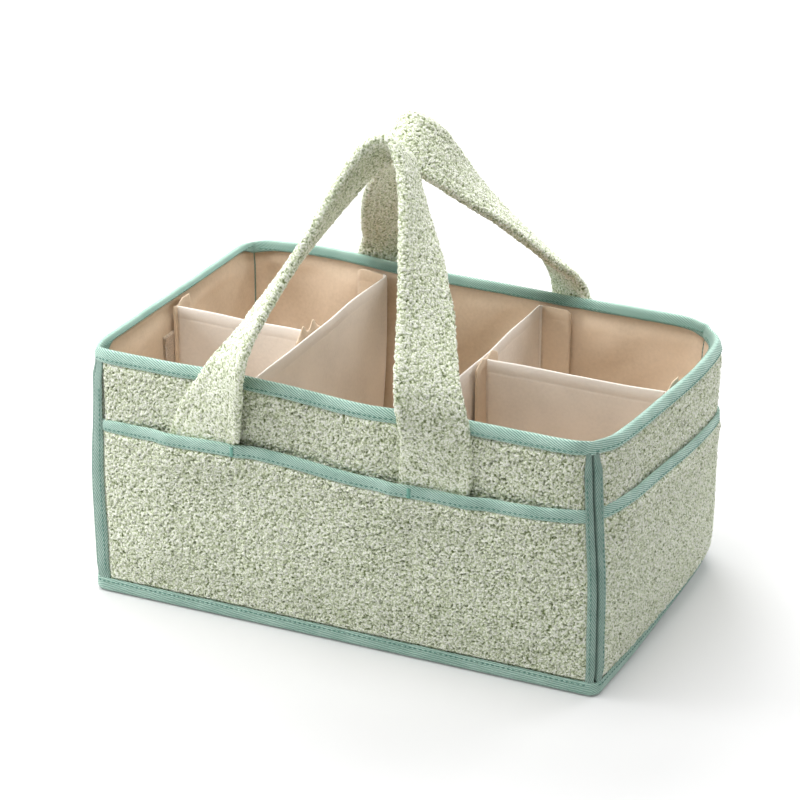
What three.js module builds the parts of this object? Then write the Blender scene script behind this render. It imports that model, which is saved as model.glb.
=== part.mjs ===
// Soft carry caddy: plush walls over stiff boards, taped edges, a pocket on every wall, two carrying
// straps that swing, and four dividers held by hook-and-loop strips.
// Millimetres. +Z is up, X runs along the length and the front faces -Y. The origin is the middle of
// the underside.

import * as THREE from "three";

// Body
const BODY_LENGTH = 378; // outside of one end wall's plush to the other's
const BODY_WIDTH = 232; // outside of the front wall's plush to the back's
const BODY_HEIGHT = 180; // floor to the top of the rim tape
const CORNER_RADIUS = 14; // outside of the plush, seen from above
const PLUSH = 4; // curly outer cloth, pile included
const PRESSED_PLUSH = 2; // the same cloth where a tape is sewn over it
const BOARD = 2.5; // stiffening board in a wall
const LINING = 1;
const BASE_CLOTH = 3;
const BASE_BOARD = 4;
const GAP = 0.3; // between layers that lie on each other
const PRESS_RAMP = 1.5; // how fast the pile rises beside a tape

// Tapes
const TAPE = 1.2; // thickness of the folded tape
const TAPE_WIDTH = 10.5;
const CORNER_SLIT = 1.6; // between the two bound edges of a corner
const CORNER_FLARE = 1.8; // how far a bound edge turns out at the slit

// Pockets
const POCKET_HEIGHT = 135; // floor to the top of the pocket tape
const POCKET_OPEN = 6.5; // wall's plush to the inside of the pocket's cloth, at the mouth
const SIDE_RISE = 8; // how far from its side seams a pocket stands fully open
const FOOT_RISE = 30; // the same from its bottom seam
const STITCH_REACH = 16; // how far a seam between two compartments draws the pocket in
const STITCH_DEPTH = 0.85; // share of the opening that it takes
const STITCH_SPREAD = 65.5; // middle between the two seams to either seam
const STITCH_SHIFT = -6.5; // middle between the two seams, along X

// Handles
const STRAP_WIDTH = 47;
const CROWN_WIDTH = 41; // where the strap is drawn together over the top
const STRAP_THICKNESS = 6;
const SEWN_THICKNESS = 4; // the strap where it is sewn to the wall
const STRAP_TUCK = 19; // length of a sewn end inside the pocket
const TUCK_SPREAD = 84; // middle of the handle to the middle of a sewn end, in the pocket
const TUCK_SHIFT = -11; // middle between a handle's sewn ends there, along X
const RIM_SPREAD = 77; // the same two at the rim
const RIM_SHIFT = -6;
const HANDLE_SWAY = 12; // how far a crown lies to the right of that
const FRONT_RISE = 168; // rim to the middle of the strap at its crown, along its lean
const BACK_RISE = 171;
const FRONT_LEAN = 31; // degrees from upright, towards the middle
const BACK_LEAN = 41;
const LEAN_RADIUS = 30; // bend of the strap as it leaves the rim
const CROWN_RADIUS = 22; // bend over the top
const HINGE_LIFT = 1; // bend line above the rim
const LEG_SETTLE = 0.25; // share of a leg over which it tilts from upright to its slant
const FOOT_TURN = 0.42; // share of the quarter turn that the strap makes just above the rim
const FOOT_TURN_START = 3; // slant heights between which it makes it
const FOOT_TURN_END = 38;
const LEG_TURN_POWER = 1.7; // how late the rest of the turn comes

// Dividers
const DIVIDER = 3;
const DIVIDER_DROP = 7; // rim to the top of a divider
const HEM_HEIGHT = 9;
const HEM_EXTRA = 0.8; // how much thicker the folded hem is
const CROSS_SPACING = 123; // between the cross dividers' middles
const CROSS_SHIFT = -6.5; // middle of the pair, along X
const LEFT_DIVIDER_Y = -11;
const RIGHT_DIVIDER_Y = -1;
const TAB_WIDTH = 22; // a cross divider's tab along the wall
const FLAP_REACH = 18; // a lengthwise divider's end flap, to each side
const FLAP = 1.2; // cloth of a tab or flap
const HOOKS = 0.8;
const LOOPS = 1;
const GRIP_GAP = 0.5; // between hooks and loops that hold each other
const SWING_GAP = 1.8; // the same where a tab swings away from its wall
const STRIP_HEIGHT = 120;
const STRIP_LIFT = 26; // floor lining to the foot of a strip
const STRIP_MARGIN = 2; // edge of a tab to the edge of its strip

// Wall layers, as insets from the outside of the plush
const boardOut = PLUSH + GAP;
const boardIn = boardOut + BOARD;
const liningOut = boardIn + GAP;
const liningIn = liningOut + LINING;
const panelSeam = PLUSH - PRESSED_PLUSH;
const pocketSeamIn = panelSeam - GAP;
const pocketSeamOut = pocketSeamIn - PRESSED_PLUSH;
const edgeTapeIn = pocketSeamOut - GAP;
const edgeTapeOut = edgeTapeIn - TAPE;
const rimTapeIn = panelSeam - GAP;
const rimTapeOut = rimTapeIn - TAPE;
const loopsOut = liningIn + GAP;
const loopsIn = loopsOut + LOOPS;

// Heights
const wallFoot = BASE_CLOTH + GAP;
const wallTop = BODY_HEIGHT - TAPE - GAP;
const rimLow = BODY_HEIGHT - TAPE_WIDTH;
const footSeam = TAPE_WIDTH + GAP;
const pocketTapeLow = POCKET_HEIGHT - TAPE_WIDTH;
const pocketClothTop = POCKET_HEIGHT - TAPE - GAP;
const tuckLow = POCKET_HEIGHT - STRAP_TUCK;
const baseBoardLow = BASE_CLOTH + GAP;
const baseLiningLow = baseBoardLow + BASE_BOARD + GAP;
const floorTop = baseLiningLow + LINING;
const dividerLow = floorTop + GAP;
const dividerTop = BODY_HEIGHT - DIVIDER_DROP;
const hingeHeight = BODY_HEIGHT + HINGE_LIFT;

const ARC_STEPS = 5;
const smooth = THREE.MathUtils.smoothstep;

const finish = {
  plush: { color: 0xc8d0b4, roughness: 0.95 },
  tape: { color: 0x8fbaaa, roughness: 0.75 },
  lining: { color: 0xd9bd9f, roughness: 0.7 },
  divider: { color: 0xdcc8b4, roughness: 0.55 },
  board: { color: 0xd8d8d2, roughness: 0.8 },
  hooks: { color: 0xcdb8a2, roughness: 0.85 },
  loops: { color: 0xd2bea8, roughness: 0.95 },
};

function makeWall(name, length, width, turn) {
  const half = length / 2;
  const straight = half - CORNER_RADIUS;
  const corner = straight + (CORNER_RADIUS * Math.PI) / 4;
  const tapeEnd = corner - CORNER_SLIT / 2;
  const wall = {
    name,
    straight,
    depth: width / 2,
    tapeEnd,
    tapeStart: tapeEnd - TAPE_WIDTH,
    clothEnd: tapeEnd - TAPE - GAP,
    seam: tapeEnd - TAPE_WIDTH - GAP,
    stitches: [],
    group: new THREE.Group(),
  };
  wall.group.rotation.z = turn;
  return wall;
}

// Each wall is drawn facing -Y and then turned to its place, so the back wall's X runs the other way.
const front = makeWall("front", BODY_LENGTH, BODY_WIDTH, 0);
const right = makeWall("right", BODY_WIDTH, BODY_LENGTH, Math.PI / 2);
const back = makeWall("back", BODY_LENGTH, BODY_WIDTH, Math.PI);
const left = makeWall("left", BODY_WIDTH, BODY_LENGTH, -Math.PI / 2);
const walls = [front, right, back, left];
for (const [wall, way] of [[front, 1], [back, -1]]) {
  wall.stitches.push(way * STITCH_SHIFT - STITCH_SPREAD, way * STITCH_SHIFT + STITCH_SPREAD);
  wall.tuckShift = way * TUCK_SHIFT;
  wall.shift = way * RIM_SHIFT;
  wall.sway = way * HANDLE_SWAY;
}
Object.assign(front, { lean: FRONT_LEAN, rise: FRONT_RISE });
Object.assign(back, { lean: BACK_LEAN, rise: BACK_RISE });

const caddy = new THREE.Group();
caddy.name = "carry_caddy";

function addPiece(parent, name, geometry, look) {
  const mesh = new THREE.Mesh(geometry, new THREE.MeshStandardMaterial({ metalness: 0, ...look }));
  mesh.name = name;
  parent.add(mesh);
  return mesh;
}

// Triangles that fill one planar ring, wound the same way as the ring.
function fillRing(ring) {
  const normal = new THREE.Vector3();
  ring.forEach((point, i) => {
    const next = ring[(i + 1) % ring.length];
    normal.x += (point.y - next.y) * (point.z + next.z);
    normal.y += (point.z - next.z) * (point.x + next.x);
    normal.z += (point.x - next.x) * (point.y + next.y);
  });
  const turn = new THREE.Quaternion().setFromUnitVectors(normal.normalize(), new THREE.Vector3(0, 0, 1));
  const flat = ring.map((point) => {
    const turned = point.clone().applyQuaternion(turn);
    return new THREE.Vector2(turned.x, turned.y);
  });
  return THREE.ShapeUtils.triangulateShape(flat, []).map(([a, b, c]) => {
    const area = flat[b].clone().sub(flat[a]).cross(flat[c].clone().sub(flat[a]));
    return area > 0 ? [a, b, c] : [a, c, b];
  });
}

// Joins rings of equal length into one closed solid: a loop, or a run with a cap at each end.
function loft(rings, isLoop = false) {
  const count = rings[0].length;
  const points = rings.flat();
  const faces = [];
  const steps = isLoop ? rings.length : rings.length - 1;
  for (let i = 0; i < steps; i++) {
    const low = i * count;
    const high = ((i + 1) % rings.length) * count;
    for (let j = 0; j < count; j++) {
      const k = (j + 1) % count;
      faces.push([low + j, low + k, high + k], [low + j, high + k, high + j]);
    }
  }
  if (!isLoop) {
    const last = (rings.length - 1) * count;
    for (const [a, b, c] of fillRing(rings[0])) {
      faces.push([a, c, b]);
    }
    for (const [a, b, c] of fillRing(rings[rings.length - 1])) {
      faces.push([last + a, last + b, last + c]);
    }
  }
  let volume = 0;
  for (const [a, b, c] of faces) {
    volume += points[a].dot(points[b].clone().cross(points[c]));
  }
  const outward = volume > 0 ? faces : faces.map(([a, b, c]) => [a, c, b]);
  const geometry = new THREE.BufferGeometry().setFromPoints(points);
  geometry.setIndex(outward.flat());
  geometry.computeVertexNormals();
  return geometry;
}

// One outline in plan, carried straight up through the given heights.
function upright(outline, ...heights) {
  return loft(heights.map((z) => outline.map((p) => new THREE.Vector3(p.x, p.y, z))));
}

function block(x0, x1, y0, y1, z0, z1) {
  const geometry = new THREE.BoxGeometry(x1 - x0, y1 - y0, z1 - z0);
  return geometry.translate((x0 + x1) / 2, (y0 + y1) / 2, (z0 + z1) / 2);
}

// A point of a wall in plan: s runs along the outside of the plush from the wall's middle and on round
// the corner, and inset is the depth below that surface.
function planPoint(wall, s, inset) {
  const round = Math.max(0, Math.abs(s) - wall.straight);
  const angle = round / CORNER_RADIUS;
  const radius = CORNER_RADIUS - inset;
  const along = Math.min(Math.abs(s), wall.straight) + radius * Math.sin(angle);
  const out = wall.depth - CORNER_RADIUS + radius * Math.cos(angle);
  return new THREE.Vector2(Math.sign(s) * along, -out);
}

function wallPoint(wall, s, inset, z) {
  const p = planPoint(wall, s, inset);
  return new THREE.Vector3(p.x, p.y, z);
}

// Sorted, distinct places along a wall, mirrored about its middle.
function mirrored(places) {
  const all = places.flatMap((s) => [s, -s]);
  return [...new Set(all)].sort((a, b) => a - b);
}

function steps(from, to, count) {
  return Array.from({ length: count + 1 }, (_, i) => from + ((to - from) * i) / count);
}

// How far a pocket stands open, from 0 at its seams to 1: the plush behind it swells by the same share.
function swell(wall, s, z) {
  const side = smooth(wall.seam - Math.abs(s), 0, SIDE_RISE);
  const foot = smooth(z, footSeam, footSeam + FOOT_RISE);
  const held = 1 - smooth(z, tuckLow - FOOT_RISE, tuckLow);
  let draw = 0;
  for (const stitch of wall.stitches) {
    draw = Math.max(draw, 1 - smooth(Math.abs(s - stitch), 0, STITCH_REACH));
  }
  return side * foot * (1 - STITCH_DEPTH * draw * held);
}

function pocketStations(wall) {
  const seam = wall.seam;
  const ends = [wall.clothEnd, ...steps(seam, seam - SIDE_RISE, 4)];
  const dips = wall.stitches.flatMap((s) => steps(s - STITCH_REACH, s + STITCH_REACH, 6));
  return [...new Set([...mirrored(ends), ...dips])].sort((a, b) => a - b);
}

// A sheet in one wall: insets outside and inside, as functions of the place along the wall.
function sheetRing(wall, stations, z, outside, inside) {
  const outer = stations.map((s) => wallPoint(wall, s, outside(s), z));
  const inner = stations.map((s) => wallPoint(wall, s, inside(s), z));
  return [...outer, ...inner.reverse()];
}

function makePanel(wall) {
  const stations = pocketStations(wall);
  const behind = [wallFoot, footSeam, footSeam + FOOT_RISE / 2, footSeam + FOOT_RISE, tuckLow - FOOT_RISE];
  const levels = [
    ...behind.map((z) => [z, (s) => panelSeam * (1 - swell(wall, s, z))]),
    [POCKET_HEIGHT, (s) => panelSeam * (1 - swell(wall, s, POCKET_HEIGHT))],
    [POCKET_HEIGHT + PRESS_RAMP, () => 0],
    [rimLow - GAP - PRESS_RAMP, () => 0],
    [rimLow - GAP, () => panelSeam],
    [wallTop, () => panelSeam],
  ];
  return loft(levels.map(([z, outside]) => sheetRing(wall, stations, z, outside, () => PLUSH)));
}

function makeLining(wall) {
  const round = steps(wall.straight, wall.clothEnd, ARC_STEPS);
  const stations = mirrored(round);
  const rings = [wallFoot, wallTop].map((z) =>
    sheetRing(wall, stations, z, () => liningOut, () => liningIn));
  return loft(rings);
}

function makeBoard(wall) {
  const y = -wall.depth;
  return block(-wall.straight, wall.straight, y + boardOut, y + boardIn, wallFoot, wallTop);
}

function pocketInside(wall, s, z) {
  return pocketSeamIn - (POCKET_OPEN + pocketSeamIn) * swell(wall, s, z);
}

function makePocket(wall) {
  const stations = pocketStations(wall);
  const full = [wallFoot, footSeam, ...steps(footSeam, footSeam + FOOT_RISE, 4).slice(1)];
  full.push(tuckLow - FOOT_RISE, tuckLow, pocketTapeLow - GAP - PRESS_RAMP);
  const pressed = [pocketTapeLow - GAP, pocketClothTop];
  const ring = (z, pile) =>
    sheetRing(
      wall,
      stations,
      z,
      (s) => pocketInside(wall, s, z) - PRESSED_PLUSH - pile * swell(wall, s, z),
      (s) => pocketInside(wall, s, z),
    );
  return loft([
    ...full.map((z) => ring(z, PLUSH - PRESSED_PLUSH)),
    ...pressed.map((z) => ring(z, 0)),
  ]);
}

// The tape folded over a pocket's top edge. It stops where the pocket runs in under the corner tapes.
function makePocketTape(wall) {
  const isClear = (s) => -pocketInside(wall, s, POCKET_HEIGHT) >= TAPE + 2 * GAP;
  const stations = pocketStations(wall).filter(isClear);
  const rings = stations.map((s) => {
    const cloth = pocketInside(wall, s, POCKET_HEIGHT);
    const inLeg = cloth + GAP;
    const outLeg = cloth - PRESSED_PLUSH - GAP;
    const section = [
      [outLeg - TAPE, pocketTapeLow],
      [outLeg, pocketTapeLow],
      [outLeg, POCKET_HEIGHT - TAPE],
      [inLeg, POCKET_HEIGHT - TAPE],
      [inLeg, pocketTapeLow],
      [inLeg + TAPE, pocketTapeLow],
      [inLeg + TAPE, POCKET_HEIGHT - TAPE],
      [inLeg, POCKET_HEIGHT],
      [outLeg, POCKET_HEIGHT],
      [outLeg - TAPE, POCKET_HEIGHT - TAPE],
    ];
    return section.map(([inset, z]) => wallPoint(wall, s, inset, z));
  });
  return loft(rings);
}

// The tape on one upright edge of a wall: a leg over the plush and a strip across the cut edge.
function makeEdgeTape(wall, side) {
  const flare = (s) => CORNER_FLARE * smooth(s, wall.tapeStart, wall.tapeEnd);
  const leg = steps(wall.tapeStart, wall.tapeEnd, ARC_STEPS);
  const inside = leg.map((s) => Math.min(s, wall.tapeEnd - TAPE)).reverse();
  const outline = [
    ...leg.map((s) => planPoint(wall, side * s, edgeTapeOut - flare(s))),
    planPoint(wall, side * wall.tapeEnd, liningIn),
    planPoint(wall, side * (wall.tapeEnd - TAPE), liningIn),
    ...inside.map((s) => planPoint(wall, side * s, edgeTapeIn - flare(s))),
  ];
  return upright(outline, footSeam, rimLow - GAP);
}

// A ring right round the body, from a section of insets and heights.
function makeLoop(section) {
  const corners = [[1, -1], [1, 1], [-1, 1], [-1, -1]];
  const rings = corners.flatMap(([sx, sy], quarter) => {
    const x = sx * (BODY_LENGTH / 2 - CORNER_RADIUS);
    const y = sy * (BODY_WIDTH / 2 - CORNER_RADIUS);
    const start = ((quarter - 1) * Math.PI) / 2;
    return steps(start, start + Math.PI / 2, 2 * ARC_STEPS).map((angle) =>
      section.map(([inset, z]) => {
        const radius = CORNER_RADIUS - inset;
        return new THREE.Vector3(x + radius * Math.cos(angle), y + radius * Math.sin(angle), z);
      }),
    );
  });
  return rings;
}

function makeRimTape() {
  const inLeg = liningIn + GAP;
  return loft(
    makeLoop([
      [rimTapeOut, rimLow],
      [rimTapeIn, rimLow],
      [rimTapeIn, BODY_HEIGHT - TAPE],
      [inLeg, BODY_HEIGHT - TAPE],
      [inLeg, rimLow],
      [inLeg + TAPE, rimLow],
      [inLeg + TAPE, BODY_HEIGHT - TAPE],
      [inLeg, BODY_HEIGHT],
      [rimTapeIn, BODY_HEIGHT],
      [rimTapeOut, BODY_HEIGHT - TAPE],
    ]),
    true,
  );
}

const baseTapeReach = edgeTapeOut + TAPE_WIDTH;

function makeBaseTape() {
  return loft(
    makeLoop([
      [edgeTapeOut, GAP + TAPE],
      [edgeTapeIn, GAP],
      [baseTapeReach, GAP],
      [baseTapeReach, GAP + TAPE],
      [edgeTapeIn, GAP + TAPE],
      [edgeTapeIn, TAPE_WIDTH],
      [edgeTapeOut, TAPE_WIDTH],
    ]),
    true,
  );
}

// A flat layer of the base: each level is an inset and a height.
function makeBaseLayer(levels) {
  const columns = makeLoop(levels);
  return loft(levels.map((_, i) => columns.map((column) => column[i])));
}

function makeBaseCloth() {
  const ledge = GAP + TAPE + GAP;
  return makeBaseLayer([
    [baseTapeReach + GAP + PRESS_RAMP, 0],
    [baseTapeReach + GAP, ledge],
    [pocketSeamOut, ledge],
    [pocketSeamOut, BASE_CLOTH],
  ]);
}

// Half-round edged section of a strap: offsets across its width and through its thickness.
function strapSection(width, thickness) {
  const w = width / 2;
  const t = thickness / 2;
  const edge = Math.min(t, w / 2);
  const profile = [
    [w - edge, -t],
    [w - edge / 3, -t / 2],
    [w, 0],
    [w - edge / 3, t / 2],
    [w - edge, t],
  ];
  return [...profile, ...profile.map(([across, through]) => [-across, -through])];
}

const sewnMiddle = -(GAP + SEWN_THICKNESS / 2);
const hingeInset = sewnMiddle - STRAP_THICKNESS / 2 - GAP;

function makeSewnEnd(wall, side) {
  const section = strapSection(STRAP_WIDTH, SEWN_THICKNESS);
  const y = -wall.depth + sewnMiddle;
  const ring = (x, z) => section.map(([across, through]) => new THREE.Vector3(x + across, y + through, z));
  return loft([
    ring(wall.tuckShift + side * TUCK_SPREAD, tuckLow),
    ring(wall.shift + side * RIM_SPREAD, hingeHeight - GAP / 2),
  ]);
}

// Place and directions on the leaning surface that a handle lies in, at a slant height above the rim.
function leanAt(wall, rise) {
  const lean = THREE.MathUtils.degToRad(wall.lean);
  const angle = Math.min(Math.max(rise, 0) / LEAN_RADIUS, lean);
  const past = rise - LEAN_RADIUS * angle;
  const y = LEAN_RADIUS * (1 - Math.cos(angle)) + past * Math.sin(angle);
  const z = LEAN_RADIUS * Math.sin(angle) + past * Math.cos(angle);
  return {
    place: new THREE.Vector3(wall.shift, -wall.depth + sewnMiddle + y, hingeHeight + GAP / 2 + z),
    up: new THREE.Vector3(0, Math.sin(angle), Math.cos(angle)),
    out: new THREE.Vector3(0, -Math.cos(angle), Math.sin(angle)),
  };
}

function legTurn(share, rise) {
  const foot = FOOT_TURN * smooth(rise, FOOT_TURN_START, FOOT_TURN_END);
  return foot + (1 - FOOT_TURN) * share ** LEG_TURN_POWER;
}

// Middle line of a handle on that surface: a straight leg, the crown and the other leg. Each stop has its
// place, its direction and how far the strap has turned from flat on the wall to flat over the crown.
function handleLine(wall) {
  const crownHeight = wall.rise - CROWN_RADIUS;
  const reach = Math.hypot(RIM_SPREAD, crownHeight);
  const touch = Math.acos(CROWN_RADIUS / reach) - Math.atan2(crownHeight, RIM_SPREAD);
  const legEnd = new THREE.Vector2(Math.cos(touch), Math.sin(touch)).multiplyScalar(CROWN_RADIUS);
  legEnd.y += crownHeight;
  const foot = new THREE.Vector2(RIM_SPREAD, 0);
  const legWay = legEnd.clone().sub(foot).normalize();
  const leg = steps(0, 1, 14).map((share) => ({
    place: foot.clone().lerp(legEnd, share),
    way: legWay,
    turn: legTurn(share, share * legEnd.y),
    settle: smooth(share, 0, LEG_SETTLE),
  }));
  const crown = steps(touch, Math.PI - touch, 12).map((angle) => ({
    place: new THREE.Vector2(Math.cos(angle), Math.sin(angle)).multiplyScalar(CROWN_RADIUS),
    way: new THREE.Vector2(-Math.sin(angle), Math.cos(angle)),
    turn: 1,
    settle: 1,
  }));
  crown.forEach((stop) => {
    stop.place.y += crownHeight;
  });
  const farLeg = leg.slice(0, -1).reverse().map((stop) => ({
    ...stop,
    place: new THREE.Vector2(-stop.place.x, stop.place.y),
    way: new THREE.Vector2(stop.way.x, -stop.way.y),
  }));
  const slant = wall.sway / wall.rise;
  return [...leg.slice(0, -1), ...crown, ...farLeg].map((stop) => ({
    ...stop,
    place: new THREE.Vector2(stop.place.x + slant * stop.place.y, stop.place.y),
    way: new THREE.Vector2(stop.way.x + slant * stop.way.y, stop.way.y).normalize(),
  }));
}

function makeHandle(wall) {
  const along = new THREE.Vector3(1, 0, 0);
  const rings = handleLine(wall).map(({ place, way, turn, settle }) => {
    const lean = leanAt(wall, place.y);
    const middle = lean.place.clone().addScaledVector(along, place.x);
    const inward = along.clone().multiplyScalar(-way.y * settle - Math.sign(place.x) * (1 - settle));
    inward.addScaledVector(lean.up, way.x * settle).normalize();
    const angle = (turn * Math.PI) / 2;
    const across = inward.clone().multiplyScalar(Math.cos(angle)).addScaledVector(lean.out, Math.sin(angle));
    const face = lean.out.clone().multiplyScalar(Math.cos(angle)).addScaledVector(inward, -Math.sin(angle));
    const width = THREE.MathUtils.lerp(STRAP_WIDTH, CROWN_WIDTH, turn);
    const section = strapSection(width, STRAP_THICKNESS);
    return section.map(([w, t]) => middle.clone().addScaledVector(across, w).addScaledVector(face, t));
  });
  return loft(rings);
}

// A divider's outline in plan, carried up with a thicker folded hem along its top.
function makeDivider(outlineAt) {
  const levels = [
    [dividerLow, DIVIDER],
    [dividerTop - HEM_HEIGHT, DIVIDER],
    [dividerTop - HEM_HEIGHT + HEM_EXTRA, DIVIDER + HEM_EXTRA],
    [dividerTop, DIVIDER + HEM_EXTRA],
  ];
  return loft(levels.map(([z, t]) => outlineAt(t).map(([x, y]) => new THREE.Vector3(x, y, z))));
}

const stripLow = floorTop + STRIP_LIFT;
const stripTop = stripLow + STRIP_HEIGHT;
const crossHooksOut = loopsIn + GRIP_GAP;
const frontTabOut = crossHooksOut + HOOKS + GAP;
const frontTabIn = frontTabOut + FLAP;
const backHooksOut = loopsIn + SWING_GAP;
const backTabOut = backHooksOut + HOOKS + GAP;
const halfDivider = (DIVIDER + HEM_EXTRA) / 2;

// A cross divider swings about the crease of its front tab; its back tab lies along the back wall.
function addCrossDivider(name, side) {
  const x = CROSS_SHIFT + (side * CROSS_SPACING) / 2;
  const yFront = -BODY_WIDTH / 2 + frontTabIn + GAP;
  const yBack = BODY_WIDTH / 2 - backTabOut;
  const tabEnd = x + side * (halfDivider + TAB_WIDTH);
  const stripEnds = [x + side * halfDivider, tabEnd - side * STRIP_MARGIN].sort((a, b) => a - b);
  const tabEnds = [x - side * halfDivider, tabEnd].sort((a, b) => a - b);
  const outlineAt = (thickness) => [
    [x - (side * thickness) / 2, yFront],
    [x + (side * thickness) / 2, yFront],
    [x + (side * thickness) / 2, yBack - FLAP],
    [tabEnd, yBack - FLAP],
    [tabEnd, yBack],
    [x - (side * thickness) / 2, yBack],
  ];
  addPiece(caddy, name, makeDivider(outlineAt), finish.divider);

  const frontFace = -BODY_WIDTH / 2;
  const tab = block(...tabEnds, frontFace + frontTabOut, frontFace + frontTabIn, dividerLow, dividerTop);
  addPiece(caddy, `${name}_front_tab`, tab, finish.divider);
  const frontHooks = [frontFace + crossHooksOut, frontFace + crossHooksOut + HOOKS];
  const strip = (depths) => block(...stripEnds, ...depths, stripLow, stripTop);
  addPiece(caddy, `${name}_front_hooks`, strip(frontHooks), finish.hooks);
  const frontLoops = [frontFace + loopsOut, frontFace + loopsIn];
  const place = side < 0 ? "left" : "right";
  const loopsName = `${place}_loops`;
  addPiece(caddy, `front_wall_${loopsName}`, strip(frontLoops), finish.loops);

  const backFace = BODY_WIDTH / 2;
  const backHooks = [backFace - backHooksOut - HOOKS, backFace - backHooksOut];
  addPiece(caddy, `${name}_back_hooks`, strip(backHooks), finish.hooks);
  const backLoops = [backFace - loopsIn, backFace - loopsOut];
  addPiece(caddy, `back_wall_${loopsName}`, strip(backLoops), finish.loops);
}

// A lengthwise divider runs from an end wall to a cross divider, with a flap to both sides at each end.
function addLongDivider(name, side, y) {
  const wallFace = (side * BODY_LENGTH) / 2;
  const hooksOut = Math.max(loopsIn + GRIP_GAP, liningIn + GAP + TAPE + GAP);
  const flapOut = hooksOut + HOOKS + GAP;
  const xWall = wallFace - side * flapOut;
  const crossFace = CROSS_SHIFT + side * (CROSS_SPACING / 2 + halfDivider);
  const crossHooks = crossFace + side * GRIP_GAP;
  const xCross = crossHooks + side * (HOOKS + GAP);
  const outlineAt = (thickness) => {
    const half = thickness / 2;
    return [
      [xWall, y - FLAP_REACH],
      [xWall - side * FLAP, y - FLAP_REACH],
      [xWall - side * FLAP, y - half],
      [xCross + side * FLAP, y - half],
      [xCross + side * FLAP, y - FLAP_REACH],
      [xCross, y - FLAP_REACH],
      [xCross, y + FLAP_REACH],
      [xCross + side * FLAP, y + FLAP_REACH],
      [xCross + side * FLAP, y + half],
      [xWall - side * FLAP, y + half],
      [xWall - side * FLAP, y + FLAP_REACH],
      [xWall, y + FLAP_REACH],
    ];
  };
  addPiece(caddy, name, makeDivider(outlineAt), finish.divider);

  const stripReach = FLAP_REACH - STRIP_MARGIN;
  const strip = (xa, xb) =>
    block(Math.min(xa, xb), Math.max(xa, xb), y - stripReach, y + stripReach, stripLow, stripTop);
  const wallHooks = strip(wallFace - side * hooksOut, wallFace - side * (hooksOut + HOOKS));
  addPiece(caddy, `${name}_wall_hooks`, wallHooks, finish.hooks);
  const endHooks = strip(crossHooks, crossHooks + side * HOOKS);
  addPiece(caddy, `${name}_cross_hooks`, endHooks, finish.hooks);
  const loops = strip(wallFace - side * loopsOut, wallFace - side * loopsIn);
  addPiece(caddy, `${side < 0 ? "left" : "right"}_wall_loops`, loops, finish.loops);
}

for (const wall of walls) {
  caddy.add(wall.group);
  addPiece(wall.group, `${wall.name}_panel`, makePanel(wall), finish.plush);
  addPiece(wall.group, `${wall.name}_board`, makeBoard(wall), finish.board);
  addPiece(wall.group, `${wall.name}_lining`, makeLining(wall), finish.lining);
  addPiece(wall.group, `${wall.name}_pocket`, makePocket(wall), finish.plush);
  addPiece(wall.group, `${wall.name}_pocket_tape`, makePocketTape(wall), finish.tape);
}

const edges = [
  [front, "left", "right"],
  [right, "front", "back"],
  [back, "right", "left"],
  [left, "back", "front"],
];
for (const [wall, before, after] of edges) {
  addPiece(wall.group, `${wall.name}_panel_${before}_edge_tape`, makeEdgeTape(wall, -1), finish.tape);
  addPiece(wall.group, `${wall.name}_panel_${after}_edge_tape`, makeEdgeTape(wall, 1), finish.tape);
}

addPiece(caddy, "rim_tape", makeRimTape(), finish.tape);
addPiece(caddy, "base_tape", makeBaseTape(), finish.tape);
addPiece(caddy, "base_cloth", makeBaseCloth(), finish.plush);
const innerInset = liningIn + GAP;
const boardLevels = [[innerInset, baseBoardLow], [innerInset, baseBoardLow + BASE_BOARD]];
addPiece(caddy, "base_board", makeBaseLayer(boardLevels), finish.board);
const liningLevels = [[innerInset, baseLiningLow], [innerInset, floorTop]];
addPiece(caddy, "base_lining", makeBaseLayer(liningLevels), finish.lining);

for (const [wall, first, second] of [[front, "left", "right"], [back, "right", "left"]]) {
  const name = `${wall.name}_handle`;
  addPiece(wall.group, `${name}_${first}_end`, makeSewnEnd(wall, -1), finish.plush);
  addPiece(wall.group, `${name}_${second}_end`, makeSewnEnd(wall, 1), finish.plush);
  addPiece(wall.group, name, makeHandle(wall), finish.plush);
}

addCrossDivider("left_cross_divider", -1);
addCrossDivider("right_cross_divider", 1);
addLongDivider("left_divider", -1, LEFT_DIVIDER_Y);
addLongDivider("right_divider", 1, RIGHT_DIVIDER_Y);

export default caddy;
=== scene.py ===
import math

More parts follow.
